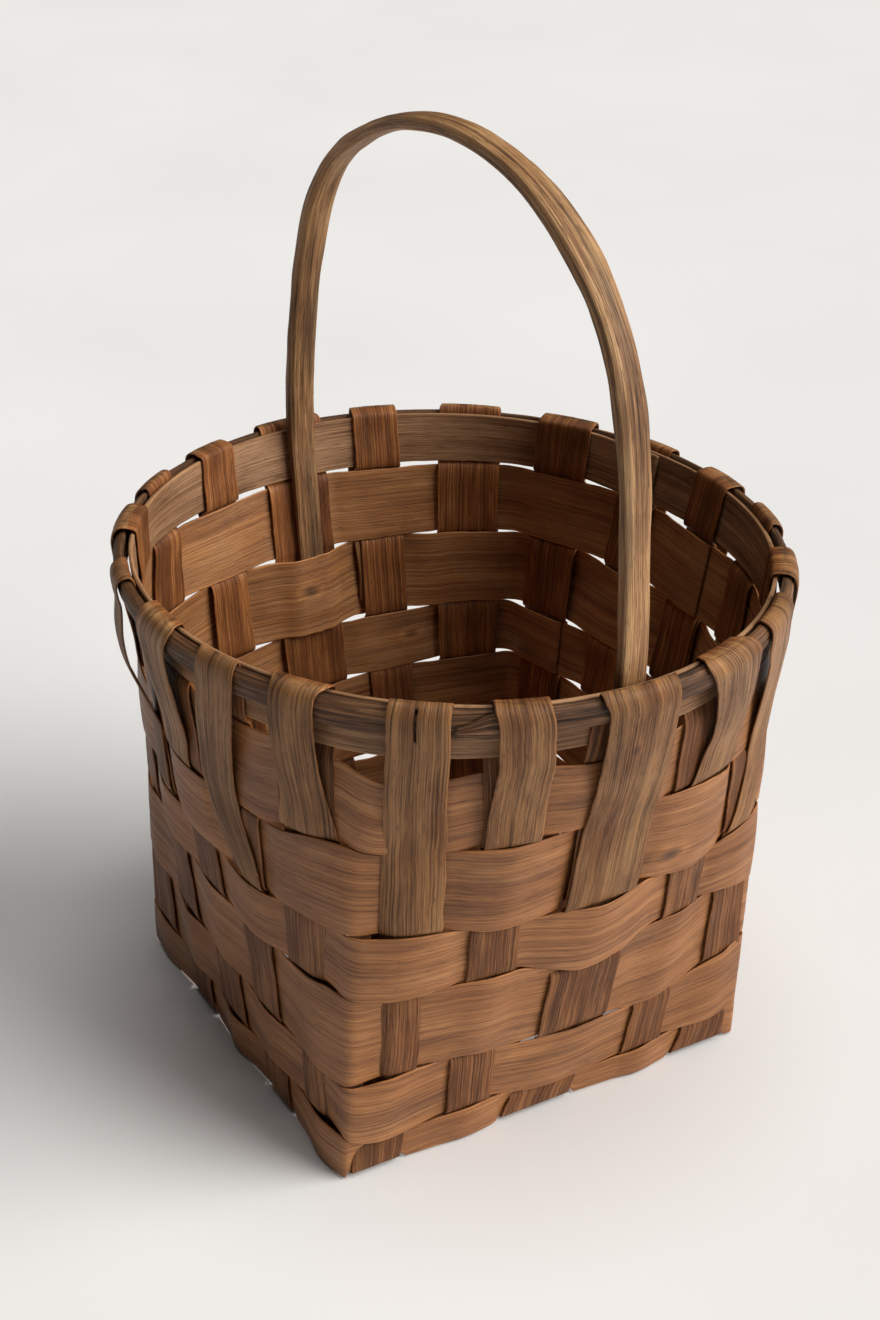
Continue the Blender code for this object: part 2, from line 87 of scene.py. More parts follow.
# Where a folded end or a stake isn't an even ribbon: height in mm, then the places of
# its two edges along the wall, in stake spacings.
TAIL_EDGES = {
    -1: ((135, -1.36, -0.84), (173, -1.36, -0.84), (193, -1.26, -0.72), (215, -1.20, -0.69),
         (232, -1.16, -0.66), (252, -1.02, -0.48)),
    0: ((118, 0.06, 0.20), (136, -0.08, 0.26), (146, -0.26, 0.20), (176, -0.55, 0.02),
        (203, -0.38, 0.12), (226, -0.22, 0.25), (243, -0.12, 0.31), (252, -0.10, 0.32)),
    1: ((135, 0.62, 1.31), (178, 0.63, 1.29), (199, 0.68, 1.18), (215, 0.68, 1.13),
        (235, 0.68, 1.11), (252, 0.69, 1.11)),
    2: ((125, 1.77, 2.40), (134, 1.77, 2.39), (171, 1.75, 2.36), (205, 1.75, 2.30),
        (238, 1.74, 2.27), (252, 1.73, 2.26)),
    3: ((130, 2.71, 3.28), (173, 2.71, 3.27), (195, 2.70, 3.24), (217, 2.70, 3.205),
        (235, 2.68, 3.16), (244, 2.655, 3.13), (252, 2.60, 3.08)),
    4: ((115, 3.70, 4.55), (127, 3.70, 4.54), (152, 3.70, 4.53), (190, 3.72, 4.52),
        (221, 3.66, 4.40), (242, 3.60, 4.31), (252, 3.51, 4.26)),
    5: ((135, 4.95, 5.60), (174, 4.98, 5.62), (202, 5.05, 5.62), (214, 5.00, 5.60),
        (228, 4.88, 5.52), (240, 4.74, 5.44), (250, 4.62, 5.36)),
    6: ((112, 5.83, 6.22), (132, 5.85, 6.24), (147, 5.94, 6.32), (168, 6.00, 6.42),
        (195, 6.00, 6.50), (222, 5.86, 6.44), (238, 5.68, 6.30), (252, 5.60, 6.24)),
}
STAKE_EDGES = {
    1: ((0, 0.74, 1.38), (20, 0.72, 1.38), (50, 0.72, 1.28), (105, 0.60, 1.26), (132, 0.59, 1.25),
        (178, 0.60, 1.26), (221, 0.60, 1.20)),
    2: ((0, 1.58, 2.14), (16, 1.57, 2.17), (52, 1.64, 2.27), (100, 1.67, 2.24), (129, 1.66, 2.24),
        (174, 1.67, 2.25), (230, 1.72, 2.27)),
    3: ((0, 2.67, 3.20), (18, 2.67, 3.21), (53, 2.67, 3.19), (97, 2.73, 3.27), (129, 2.70, 3.22),
        (173, 2.70, 3.20), (221, 2.59, 3.10)),
    4: ((0, 3.40, 4.26), (8, 3.42, 4.28), (18, 3.52, 4.36), (46, 3.70, 4.56), (90, 3.71, 4.59),
        (155, 3.70, 4.50), (230, 3.54, 4.34)),
    5: ((0, 4.88, 5.40), (15, 4.90, 5.41), (51, 4.96, 5.46), (95, 5.08, 5.56), (126, 5.04, 5.56),
        (176, 4.80, 5.33), (221, 4.70, 5.20)),
    6: ((0, 5.62, 6.30), (16, 5.72, 6.34), (52, 5.86, 6.42), (98, 5.85, 6.36), (155, 5.78, 6.38),
        (230, 5.64, 6.26)),
}
# How the rows' edges ride up and down round the front: (place, height in mm).
ROW_LOWER = {
    2: ((0.8, 27), (1.44, 26), (1.68, 20), (2.11, 16), (2.63, 20), (3.19, 21), (3.81, 16), (4.40, 15),
        (4.80, 17), (5.41, 19), (5.93, 18), (6.50, 20)),
    3: ((0.75, 56), (1.27, 54.5), (1.64, 54.5), (2.25, 57), (2.69, 57), (3.22, 52), (3.67, 50),
        (4.54, 51), (5.00, 48), (5.43, 50), (5.78, 55), (6.45, 62)),
    4: ((0.3, 104), (1.29, 103.5), (1.92, 99), (2.25, 100), (2.69, 101), (3.26, 101), (4.09, 89),
        (4.50, 92), (4.80, 98), (4.98, 99), (5.52, 101), (5.91, 101), (6.45, 97)),
    5: ((-1.3, 135), (0.20, 134), (0.93, 138), (1.28, 137), (1.73, 137), (2.41, 135), (2.93, 130),
        (3.29, 130), (3.66, 130), (4.58, 134), (5.03, 129), (5.30, 127), (5.59, 130), (6.4, 137)),
    6: ((-1.3, 173), (0.20, 173), (1.30, 180), (1.72, 177), (2.40, 177), (3.20, 177), (4.70, 179),
        (5.70, 176), (6.5, 180)),
}
ROW_UPPER = {
    1: ((0.70, 22), (1.45, 23), (1.60, 18), (2.18, 18), (2.66, 18), (3.08, 18), (3.50, 16), (4.2, 13),
        (4.97, 14), (5.30, 17), (5.68, 17), (6.4, 18)),
    2: ((0.75, 53), (1.36, 51), (1.77, 52), (2.19, 53), (2.62, 53), (3.20, 49.5), (3.69, 48),
        (4.29, 46), (4.91, 45.5), (5.47, 49), (5.96, 54), (6.45, 60)),
    3: ((0.54, 99.5), (1.31, 101.5), (1.66, 99), (2.21, 98), (2.74, 99), (3.20, 98), (3.64, 93),
        (4.1, 87.5), (4.60, 89), (4.80, 95), (5.47, 99), (5.83, 98), (6.45, 95)),
    4: ((0.2, 130), (1.27, 132.5), (1.75, 132.5), (2.20, 132), (2.66, 130), (3.21, 128.5), (3.66, 128),
        (4.35, 123), (4.77, 126), (5.05, 126), (5.67, 129), (5.97, 132), (6.39, 135)),
    5: ((-1.72, 171), (-1.26, 169), (-0.69, 171), (0.17, 170), (1.29, 178), (1.72, 175), (2.36, 175),
        (2.69, 175), (3.02, 174.5), (3.48, 175), (4.71, 176), (5.03, 176), (5.68, 173), (6.5, 177)),
    6: ((0.2, 218), (1.20, 217), (1.48, 213), (1.70, 210), (2.31, 212.5), (2.60, 214), (3.29, 214),
        (3.75, 211.5), (4.6, 214), (5.6, 217), (6.4, 218)),
}
ROW_GAP = 0.8
BOW_W, BOW_T = 13.5 * MM, 6.8 * MM
BOW_SHAPE = ((155.0, 262), (153.5, 300), (149.0, 345), (138.5, 379), (117.0, 403.5),
             (78.0, 425), (30.0, 433.5), (-16.0, 429), (-53.0, 416.5), (-86.0, 397.5),
             (-107.0, 373), (-119.5, 345), (-128.5, 312), (-135.5, 270))
LEG_END_Z = 0.150
BOW_STAKES = (4, 14)
CORNER_CUT = (1.0, 1.95)
SPLINTS = [("splint_a%d" % (i + 1), 2 + i, 16 - i) for i in range(5)] \
    + [("splint_b%d" % (j + 1), 1 - j, 7 + j) for j in range(5)]


# ------------------------------------------------------------ small tools
def smoothstep(a, b, x):
    t = np.clip((np.asarray(x, float) - a) / (b - a), 0.0, 1.0)
    return t * t * (3 - 2 * t)


def pchip(xs, ys, x):
    """Shape-preserving cubic through the knots, held flat past both ends."""
    xs, ys = np.asarray(xs, float), np.asarray(ys, float)
    x = np.clip(np.asarray(x, float), xs[0], xs[-1])
    h = np.diff(xs)
    d = np.diff(ys) / h
    m = np.zeros(len(xs))
    m[0], m[-1] = d[0], d[-1]
    for i in range(1, len(xs) - 1):
        if d[i - 1] * d[i] > 0:
            w1, w2 = 2 * h[i] + h[i - 1], h[i] + 2 * h[i - 1]
            m[i] = (w1 + w2) / (w1 / d[i - 1] + w2 / d[i])
    k = np.clip(np.searchsorted(xs, x, side="right") - 1, 0, len(xs) - 2)
    t = (x - xs[k]) / h[k]
    a, b = ys[k], ys[k + 1]
    return ((1 + 2 * t) * (1 - t) ** 2 * a + t * (1 - t) ** 2 * h[k] * m[k]
            + t * t * (3 - 2 * t) * b + t * t * (t - 1) * h[k] * m[k + 1])


def lattice(ix, iy, seed):
    with np.errstate(over="ignore"):
        h = (ix.astype(np.int64) * 374761393 + iy.astype(np.int64) * 668265263
             + np.int64(seed) * 1442695041) & 0xFFFFFFFF
        h = ((h ^ (h >> 13)) * 1274126177) & 0xFFFFFFFF
        h = h ^ (h >> 16)
    return (h & 0xFFFFFF) / float(0xFFFFFF) * 2 - 1


def noise(x, y=0.0, seed=0):
    """Smooth value noise between -1 and 1."""
    x, y = np.broadcast_arrays(np.asarray(x, float), np.asarray(y, float))
    ix, iy = np.floor(x), np.floor(y)
    fx, fy = x - ix, y - iy
    fx, fy = fx * fx * (3 - 2 * fx), fy * fy * (3 - 2 * fy)
    a, b = lattice(ix, iy, seed), lattice(ix + 1, iy, seed)
    c, d = lattice(ix, iy + 1, seed), lattice(ix + 1, iy + 1, seed)
    return (a * (1 - fx) + b * fx) * (1 - fy) + (c * (1 - fx) + d * fx) * fy


def smooth_path(points, coarse=2.0 * MM, fine=0.7 * MM):
    """A smooth curve through the points (their first two numbers are its plane)."""
    p = [np.asarray(q, float) for q in points]
    p = [2 * p[0] - p[1]] + p + [2 * p[-1] - p[-2]]
    out = []
    for i in range(1, len(p) - 2):
        a, b, c, d = p[i - 1:i + 3]
        t0 = 0.0
        t1 = t0 + max(np.linalg.norm((b - a)[:2]), 1e-5) ** 0.5
        t2 = t1 + max(np.linalg.norm((c - b)[:2]), 1e-5) ** 0.5
        t3 = t2 + max(np.linalg.norm((d - c)[:2]), 1e-5) ** 0.5
        length = np.linalg.norm((c - b)[:2])
        step = fine if length < 5.2 * MM else coarse
        n = max(int(math.ceil(length / step)), 1)
        for j in range(n):
            t = t1 + (t2 - t1) * j / n
            a1 = (t1 - t) / (t1 - t0) * a + (t - t0) / (t1 - t0) * b
            a2 = (t2 - t) / (t2 - t1) * b + (t - t1) / (t2 - t1) * c
            a3 = (t3 - t) / (t3 - t2) * c + (t - t2) / (t3 - t2) * d
            b1 = (t2 - t) / (t2 - t0) * a1 + (t - t0) / (t2 - t0) * a2
            b2 = (t3 - t) / (t3 - t1) * a2 + (t - t1) / (t3 - t1) * a3
            out.append((t2 - t) / (t2 - t1) * b1 + (t - t1) / (t2 - t1) * b2)
    out.append(p[-2])
    return np.array(out)


# ------------------------------------------------------------ the wall
def wall_w(z):
    return (np.clip(z, 0.0, WALL_TOP * 1.02) / WALL_TOP) ** FLARE


def foot_square(s):
    n = np.floor((s - 1.5) / 5.0)
    a = n * np.pi / 2
    u, v = BASE_SIDE / 2, (s - (4 + 5 * n)) * PITCH
    return np.cos(a) * u - np.sin(a) * v, np.sin(a) * u + np.cos(a) * v


def outline(s, w):
    """The wall seen from above at blend w: a square turning into the rim's oval."""
    fx, fy = foot_square(s)
    # above the base the front corner is flattened and creased along the middle of stake 2
    c0, c1 = CORNER_CUT
    f = (s - c0) / (c1 - c0)
    cut = np.where((f > 0) & (f < 1), smoothstep(0.0, 0.045, WALL_TOP * w ** (1 / FLARE)), 0.0)
    (x0, y0), (x1, y1) = foot_square(np.float64(c0)), foot_square(np.float64(c1))
    fx, fy = fx + (x0 + (x1 - x0) * f - fx) * cut, fy + (y0 + (y1 - y0) * f - fy) * cut
    th = np.radians((s - 4) * 18)
    return (fx * (1 - w) + (RIM_CX + RIM_RX * np.cos(th)) * w,
            fy * (1 - w) + (RIM_CY + RIM_RY * np.sin(th)) * w)


ROUND = [(o, (1 + math.cos(math.pi * o)) / 2) for o in np.linspace(-0.9, 0.9, 9)]
ROUND_SUM = sum(wt for _, wt in ROUND)


def soft_outline(s, w):
    h = 0.10 + 0.14 * w
    x = y = 0.0
    for o, wt in ROUND:
        px, py = outline(s + h * o, w)
        x, y = x + px * wt / ROUND_SUM, y + py * wt / ROUND_SUM
    return x, y


def wall(s, z, off):
    """Points at place s round the wall, height z, a distance off outside its middle line."""
    s, z, off = (np.asarray(v, float) for v in np.broadcast_arrays(s, z, off))
    w = wall_w(z)
    x, y = soft_outline(s, w)
    x1, y1 = soft_outline(s + 0.03, w)
    x0, y0 = soft_outline(s - 0.03, w)
    tx, ty = x1 - x0, y1 - y0
    ln = np.hypot(tx, ty)
    nx, ny = ty / ln, -tx / ln
    out = off + BELLY * np.sin(np.pi * np.clip(z / WALL_TOP, 0, 1))
    return np.stack([x + nx * out, y + ny * out, z], axis=-1)


def spacing(s, z):
    """Metres round the wall for one stake spacing."""
    w = wall_w(z)
    x1, y1 = outline(s + 0.2, w)
    x0, y0 = outline(s - 0.2, w)
    return np.hypot(x1 - x0, y1 - y0) / 0.4


def stake_pos(k, z):
    _, foot, mid, rim = STAKES[k]
    w = wall_w(z)
    t = np.clip(z / WALL_TOP, 0.0, 1.0)
    return k + foot + (rim - foot) * w + mid * np.sin(np.pi * t)


def stake_edges(k, z):
    z = np.asarray(z, float)
    if k in STAKE_EDGES:
        t = np.array(STAKE_EDGES[k])
        return pchip(t[:, 0] * MM, t[:, 1], z), pchip(t[:, 0] * MM, t[:, 2], z)
    c = stake_pos(k, z)
    h = STAKES[k][0] * MM / 2 / spacing(c, z)
    return c - h, c + h


def tail_edges(k, z):
    z = np.asarray(z, float)
    if k in TAIL_EDGES:
        t = np.array(TAIL_EDGES[k])
        return pchip(t[:, 0] * MM, t[:, 1], z), pchip(t[:, 0] * MM, t[:, 2], z)
    zs = np.array(TAIL_Z[::-1]) * MM
    ds = np.array(TAILS[k][1:][::-1]) * MM
    c = stake_pos(k, z)
    m = spacing(c, z)
    c = c + pchip(zs, ds, z) / m
    h = TAILS[k][0] * MM / 2 / m
    return c - h, c + h


def row_raw(r, s):
    b = (1 - np.cos(2 * np.pi * (s - 2.5) / 20)) / 2
    f0, f1, b0, b1 = ROWS[r]
    out = []
    for low, base in ((True, f0 + (b0 - f0) * b), (False, f1 + (b1 - f1) * b)):
        knots = (ROW_LOWER if low else ROW_UPPER).get(r)
        if knots:
            ks = np.array([q[0] for q in knots])
            kb = (1 - np.cos(2 * np.pi * (ks - 2.5) / 20)) / 2
            kv = np.array([q[1] for q in knots]) - ((f0 + (b0 - f0) * kb) if low else (f1 + (b1 - f1) * kb))
            ks = np.concatenate([[ks[0] - 1.7], ks, [ks[-1] + 1.7]])
            kv = np.concatenate([[0.0], kv, [0.0]])
            base = base + pchip(ks, kv, s)
        out.append(base)
    if r == 1:
        # over a raised base splint the first row's foot sits higher
        out[0] = 0.85 + 0.0 * s
        for k in range(-4, 18, 2):
            lo, hi = stake_edges((k + 3) % 20 - 3, np.float64(0.003))
            turn = k - ((k + 3) % 20 - 3)
            lo, hi = lo + turn, hi + turn
            out[0] = np.maximum(out[0], 0.85 + 3.9 * smoothstep(lo - 0.08, lo - 0.015, s)
                                * (1 - smoothstep(hi + 0.015, hi + 0.08, s)))
    return out


def row_loose(r, s):
    """Half the widest gap left under row r: a little daylight here and there at the back."""
    back = smoothstep(7.5, 9.0, s) + smoothstep(-3.0, -4.5, s)
    return 0.42 + 1.3 * back * np.clip(2.6 * noise(s * 1.4, r * 5.1, 77) - 0.9, 0, 1)


def row_edges(r, s):
    """Lower and upper edge of row r at place s; neighbouring rows share out any squeeze."""
    s = np.mod(np.asarray(s, float) + 6.0, 20.0) - 6.0
    lo, hi = row_raw(r, s)
    if r > 1:
        under = row_raw(r - 1, s)[1]
        lo = (lo + under) / 2 + np.clip((lo - under) / 2, ROW_GAP / 2, row_loose(r, s))
    if r < NROWS:
        over = row_raw(r + 1, s)[0]
        hi = (hi + over) / 2 - np.clip((over - hi) / 2, ROW_GAP / 2, row_loose(r + 1, s))
    return lo * MM, hi * MM


def stake_outside(k, r):
    return (k + r) % 2 == 1


def tuck_row(k):
    return 5 if k % 2 else 4


def layers(k, r):
    """Offsets of (stake, weaver, folded end) from the wall's middle line at a crossing."""
    over = r >= tuck_row(k)
    half = LAY / 2
    if k in BOW_STAKES and r == 6:
        return -0.5 * MM, -0.5 * MM + LAY, -0.5 * MM + 2 * LAY
    if k in BOW_STAKES and r == 5:
        return 0.0, -1.6 * MM, 2.1 * MM
    if r == tuck_row(k):
        return -1.0 * MM, -1.0 * MM + 2 * LAY, -1.0 * MM + LAY
    if stake_outside(k, r):
        return half, -half, half + LAY if over else None
    return -half, half, half + LAY if over else None


# ------------------------------------------------------------ meshes
def columns(width, rim=(0.0, 0.22, 0.7, 1.5), step=2.0, extra=()):
    """Places across a splint, 0..1, closer together near its edges and at `extra`."""
    w = width / MM
    near = [min(v, w / 2 - 0.1) for v in rim]
    inner = np.linspace(near[-1], w - near[-1], max(int(round((w - 2 * near[-1]) / step)), 2) + 1)
    vs = list(near[:-1]) + list(inner) + [w - v for v in near[:-1]][::-1]
    vs = [v / w for v in vs]
    for e in extra:
        vs = [v for v in vs if abs(v - e) > 0.35 * MM / width] + [e]
    return np.array(sorted(vs))


def link(name, verts, faces, grain, tone, mat, smooth=True):
    mesh = bpy.data.meshes.new(name + "_mesh")
    mesh.from_pydata(verts.tolist(), [], faces)
    mesh.update()
    if smooth:
        mesh.shade_smooth()
    for key, data in (("grain", grain), ("tone", tone)):
        att = mesh.attributes.new(key, "FLOAT_VECTOR", "POINT")
        att.data.foreach_set("vector", np.asarray(data, np.float32).ravel())
    mesh.materials.append(mat)
    obj = bpy.data.objects.new(name, mesh)
    bpy.context.scene.collection.objects.link(obj)
    return obj


def shell_arrays(mid, thick, grain, tone_pos, tone_neg, keep=None):
    """Closes a sheet of points (n, m, 3) into a body of the given thickness."""
    n, m = mid.shape[:2]
    da = np.gradient(mid, axis=0)
    db = np.gradient(mid, axis=1)
    nor = np.cross(da, db)
    nor /= np.maximum(np.linalg.norm(nor, axis=-1, keepdims=True), 1e-12)
    if keep is None:
        keep = np.ones((n - 1, m - 1), bool)
    pad = np.zeros((n + 1, m + 1), bool)
    pad[1:-1, 1:-1] = keep
    full = pad[:-1, :-1] & pad[1:, :-1] & pad[:-1, 1:] & pad[1:, 1:]
    thick = np.where(full, thick, thick * 0.42)
    pos = mid + nor * thick[..., None] / 2
    neg = mid - nor * thick[..., None] / 2
    idx = np.arange(n * m).reshape(n, m)
    size = n * m
    ii, jj = np.nonzero(keep)
    a, b, c, d = idx[ii, jj], idx[ii + 1, jj], idx[ii + 1, jj + 1], idx[ii, jj + 1]
    faces = np.concatenate([np.stack([a, b, c, d], 1), np.stack([d, c, b, a], 1) + size])
    walls = []
    up, dn = pad[1:, :], pad[:-1, :]
    # edges along the strip, between columns j-1 and j
    for i, j in zip(*np.nonzero(pad[1:-1, 1:] != pad[1:-1, :-1])):
        p, q = idx[i, j], idx[i + 1, j]
        if pad[i + 1, j + 1]:                      # kept cell lies on the larger-v side
            walls.append((q, p, p + size, q + size))
        else:
            walls.append((p, q, q + size, p + size))
    for i, j in zip(*np.nonzero(pad[1:, 1:-1] != pad[:-1, 1:-1])):
        p, q = idx[i, j], idx[i, j + 1]
        if pad[i + 1, j + 1]:
            walls.append((p, q, q + size, p + size))
        else:
            walls.append((q, p, p + size, q + size))
    faces = np.concatenate([faces, np.array(walls, dtype=faces.dtype)])
    verts = np.concatenate([pos.reshape(-1, 3), neg.reshape(-1, 3)])
    g = np.concatenate([grain.reshape(-1, 3), grain.reshape(-1, 3) + (0, 0, 0.37)])
    t = np.concatenate([tone_pos.reshape(-1, 3), tone_neg.reshape(-1, 3)])
    used = np.zeros(len(verts), bool)
    used[faces.ravel()] = True
    renum = np.cumsum(used) - 1
    return verts[used], renum[faces], g[used], t[used]


def join_arrays(parts):
    vs, fs, gs, ts, base = [], [], [], [], 0
    for v, f, g, t in parts:
        vs.append(v)
        fs += [tuple(int(i) + base for i in face) for face in f]
        gs.append(g)
        ts.append(t)
        base += len(v)
    return np.concatenate(vs), fs, np.concatenate(gs), np.concatenate(ts)


def edge_wear(v, width, reach=1.1 * MM):
    d = np.minimum(v, 1 - v) * width
    return np.exp(-(d / reach) ** 1.5)


# ------------------------------------------------------------ splints: wall, fold and folded end
def stake_path(k):
    """Run of stake k up the wall and down outside: (offset, height, part) points."""
    pts = []
    off1 = layers(k, 1)[0]
    level = foot_level(k)
    pts += [(off1 - 3.6 * MM, level, 0), (off1 - 1.75 * MM, level + 0.2 * MM, 0),
            (off1 - 0.35 * MM, level + 1.3 * MM, 0)]
    for r in range(1, NROWS + 1):
        z0, z1 = (float(v) for v in row_edges(r, k))
        off = layers(k, r)[0]
        bulge = 0.25 * MM if stake_outside(k, r) and r != tuck_row(k) else -0.2 * MM
        lo = 5.0 * MM if r == 1 else z0 + 0.5 * MM
        pts += [(off, lo, 0), (off + bulge, (z0 + z1) / 2, 0), (off, z1 - 0.5 * MM, 0)]
    outside = k % 2 == 0
    rim = 2.0 * MM
    pts.append((rim if outside else -rim, HOOP_Z0 - 0.6 * MM, 0))
    lift = 0.5 * float(noise(k * 3.7, 0, 91)) * MM
    if outside:
        pts += [(2.0 * MM, 0.2400, 0), (2.0 * MM, 0.2470, 0.02), (2.5 * MM, 0.2497, 0.12)]
    else:
        pts += [(-2.0 * MM, 0.2400, 0), (-2.0 * MM, 0.2467, 0.02), (-1.5 * MM, 0.2495, 0.08),
                (0.4 * MM, 0.2503 + lift * 0.4, 0.25)]
    pts += [(3.6 * MM, 0.2507 + lift, 0.45), (6.3 * MM, 0.2503 + lift, 0.65), (8.6 * MM, 0.2483, 0.8),
            (9.7 * MM, 0.2450, 0.92), (9.75 * MM, 0.2405, 1), (9.3 * MM, 0.2360, 1)]
    stop = tuck_row(k)
    bow = TAIL_BOW.get(k, 0.0) * MM
    z6 = float(row_edges(6, k)[0])
    lay6 = layers(k, 6)[2]
    for f, q in ((0.25, 0.20), (0.5, 0.46), (0.78, 0.76)):
        z = 0.236 + (z6 + 6 * MM - 0.236) * f
        pts.append((TAIL_OUT + (lay6 - TAIL_OUT) * q + bow * math.sin(math.pi * f), z, 1))
    pts.append((lay6, z6, 1))
    for r in range(5, stop - 1, -1):
        z0, z1 = (float(v) for v in row_edges(r, k))
        off = layers(k, r)[2]
        pts.append((off, z1 - 0.5 * MM, 1))
        if r == stop:
            z0 = z0 + 7 * MM
        else:
            pts.append((off + 0.5 * MM, (z0 + z1) / 2, 1))
        pts.append((off, z0, 1))
    return smooth_path(pts)


# how weathered a fold is (greyer, deeper cracks), which also sets the painted highlight on its top, and knots in folded
# ends: place, height in mm, radius in mm
FOLD_WEAR_AND_HIGHLIGHT = {4: 1.5, -1: 1.4, 5: 1.2, 3: 1.1, 14: 1.3}
TAIL_KNOTS = {4: ((3.98, 219, 1.5),), 13: ((13.0, 205, 1.6),), 9: ((9.1, 212, 1.5),)}


def stake_sheet(k, cols, seed):
    """Points (n, m, 3) of stake k from its foot to the tip of its folded end, and tones."""
    path = stake_path(k)
    off, z, f = path[:, 0], path[:, 1], np.clip(path[:, 2], 0, 1)
    f = f * f * (3 - 2 * f)
    n, m = len(path), len(cols)
    a0, a1 = stake_edges(k, z)
    b0, b1 = tail_edges(k, z)
    s0, s1 = a0 + (b0 - a0) * f, a1 + (b1 - a1) * f
    dist = np.concatenate([[0], np.cumsum(np.hypot(np.diff(off), np.diff(z)))])
    ragged = 0.35 * MM / 0.043
    s0 = s0 + (noise(dist / (14 * MM), 0, seed + 1) + 0.35 * noise(dist / (3 * MM), 0, seed + 2)) * ragged
    s1 = s1 + (noise(dist / (14 * MM), 0, seed + 3) + 0.35 * noise(dist / (3 * MM), 0, seed + 4)) * ragged
    v = cols[None, :]
    s = s0[:, None] + (s1 - s0)[:, None] * v
    zz = np.repeat(z[:, None], m, 1)
    width = ((s1 - s0) * spacing((s0 + s1) / 2, z))[:, None]
    # the crown stands towards the outside on the wall and away from it on the folded end
    crown = (0.35 * MM * (1 - (2 * v - 1) ** 2) - 0.15 * MM) * np.where(f > 0.5, 1.0, 0.3)[:, None]
    ridge = relief(dist[:, None], v * width, seed)
    fold = np.exp(-((f - 0.45) / 0.3) ** 2)[:, None] * (f > 0.02)[:, None] * (f < 0.99)[:, None]
    worn = FOLD_WEAR_AND_HIGHLIGHT.get(k, 1.0)
    crack = np.exp(-(noise(dist[:, None] / (1.5 * MM), v * width / (7 * MM), seed + 8) / 0.16) ** 2) * fold
    rough = (noise(v * width / (0.9 * MM), dist[:, None] / (2.5 * MM), seed + 7) * 0.24
             - crack * 0.16 * worn) * MM * fold
    mid = wall(s, zz, off[:, None] + crown + ridge + rough)
    grey = 0.12 + 0.72 * f[:, None] + 0.5 * fold * worn + 0.0 * v
    pale_wear_and_highlight = 0.5 + 0.5 * noise(v * width / (5 * MM), dist[:, None] / (9 * MM), seed + 9)
    # painted highlight and shade: a negative dark value makes the fold top lighter, partly real abraded grey wear and
    # partly painted highlight; the cracks are darkened as painted shade
    dark = fold * (-0.80 * worn * pale_wear_and_highlight + 0.95 * crack) + 0.0 * v
    tail = (f > 0.97)[:, None]
    for ks, kz, kr in TAIL_KNOTS.get(k, ()):
        d = np.hypot((s - ks) * 43.5, (zz / MM - kz) * 0.6)
        dark = dark + tail * (0.95 * np.exp(-(d / kr) ** 2) - 0.4 * np.exp(-((d - 1.9 * kr) / (0.6 * kr)) ** 2))
    out_tone = np.stack([grey, dark, np.repeat(edge_wear(v, width), 1, 0)], -1)
    in_tone = out_tone.copy()
    in_tone[..., 0] = np.where((f < 0.3)[:, None], 0.0, grey)
    in_tone[..., 1] += np.where((f < 0.3)[:, None], -0.45, 0.0)
    return dict(mid=mid, dist=dist, width=np.repeat(width, m, 1), f=f, z=z, off=off,
                out_tone=out_tone, in_tone=in_tone)


def relief(along, across, seed):
    """Raised lengthwise grain of a split splint."""
    return (noise(across / (1.6 * MM), along / (30 * MM), seed + 11) * 0.06
            + noise(across / (4.5 * MM), along / (60 * MM), seed + 12) * 0.06
            + noise(across / (14 * MM), along / (26 * MM), seed + 13) * 0.05) * MM


def foot_level(k):
    """Height of stake k's splint where it turns up at the base edge."""
    name, ka, kb = next(sp for sp in SPLINTS if k in sp[1:])
    index = int(name[8]) - 1
    j = 0 if (k == kb) == (name[7] == "a") else 4
    # the marks run from kb's foot to ka's: family a meets b5..b1 or b1..b5
    levels = base_marks(name, ka, kb)
    return levels[0][2] if k == kb else levels[-1][2]


def foot_xy(k):
    c = float(stake_pos(k, 0.0))
    x, y = outline(np.array(c), np.array(0.0))
    return np.array([float(x), float(y)])


_marks = {}


def base_marks(name, ka, kb):
    if name in _marks:
        return _marks[name]
    family, index = name[7], int(name[8]) - 1
    ca, cb = foot_xy(ka), foot_xy(kb)
    along = ca - cb
    run = np.linalg.norm(along)
    along = along / run
    low, high = 0.5 * MM, 2.0 * MM
    marks = []
    for j, (_, kc, kd) in enumerate([sp for sp in SPLINTS if sp[0][7] != family]):
        level = high if ((index + j) % 2 == 0) == (family == "a") else low
        pc, pd = foot_xy(kc), foot_xy(kd)
        t = np.linalg.solve(np.array([along, -(pd - pc)]).T, pc - cb)[0]
        hw = (STAKES[kc][0] + STAKES[kd][0]) / 4 * MM + 1.2 * MM
        marks.append((t / run, hw / run, level))
    marks.sort()
    _marks[name] = marks
    return marks


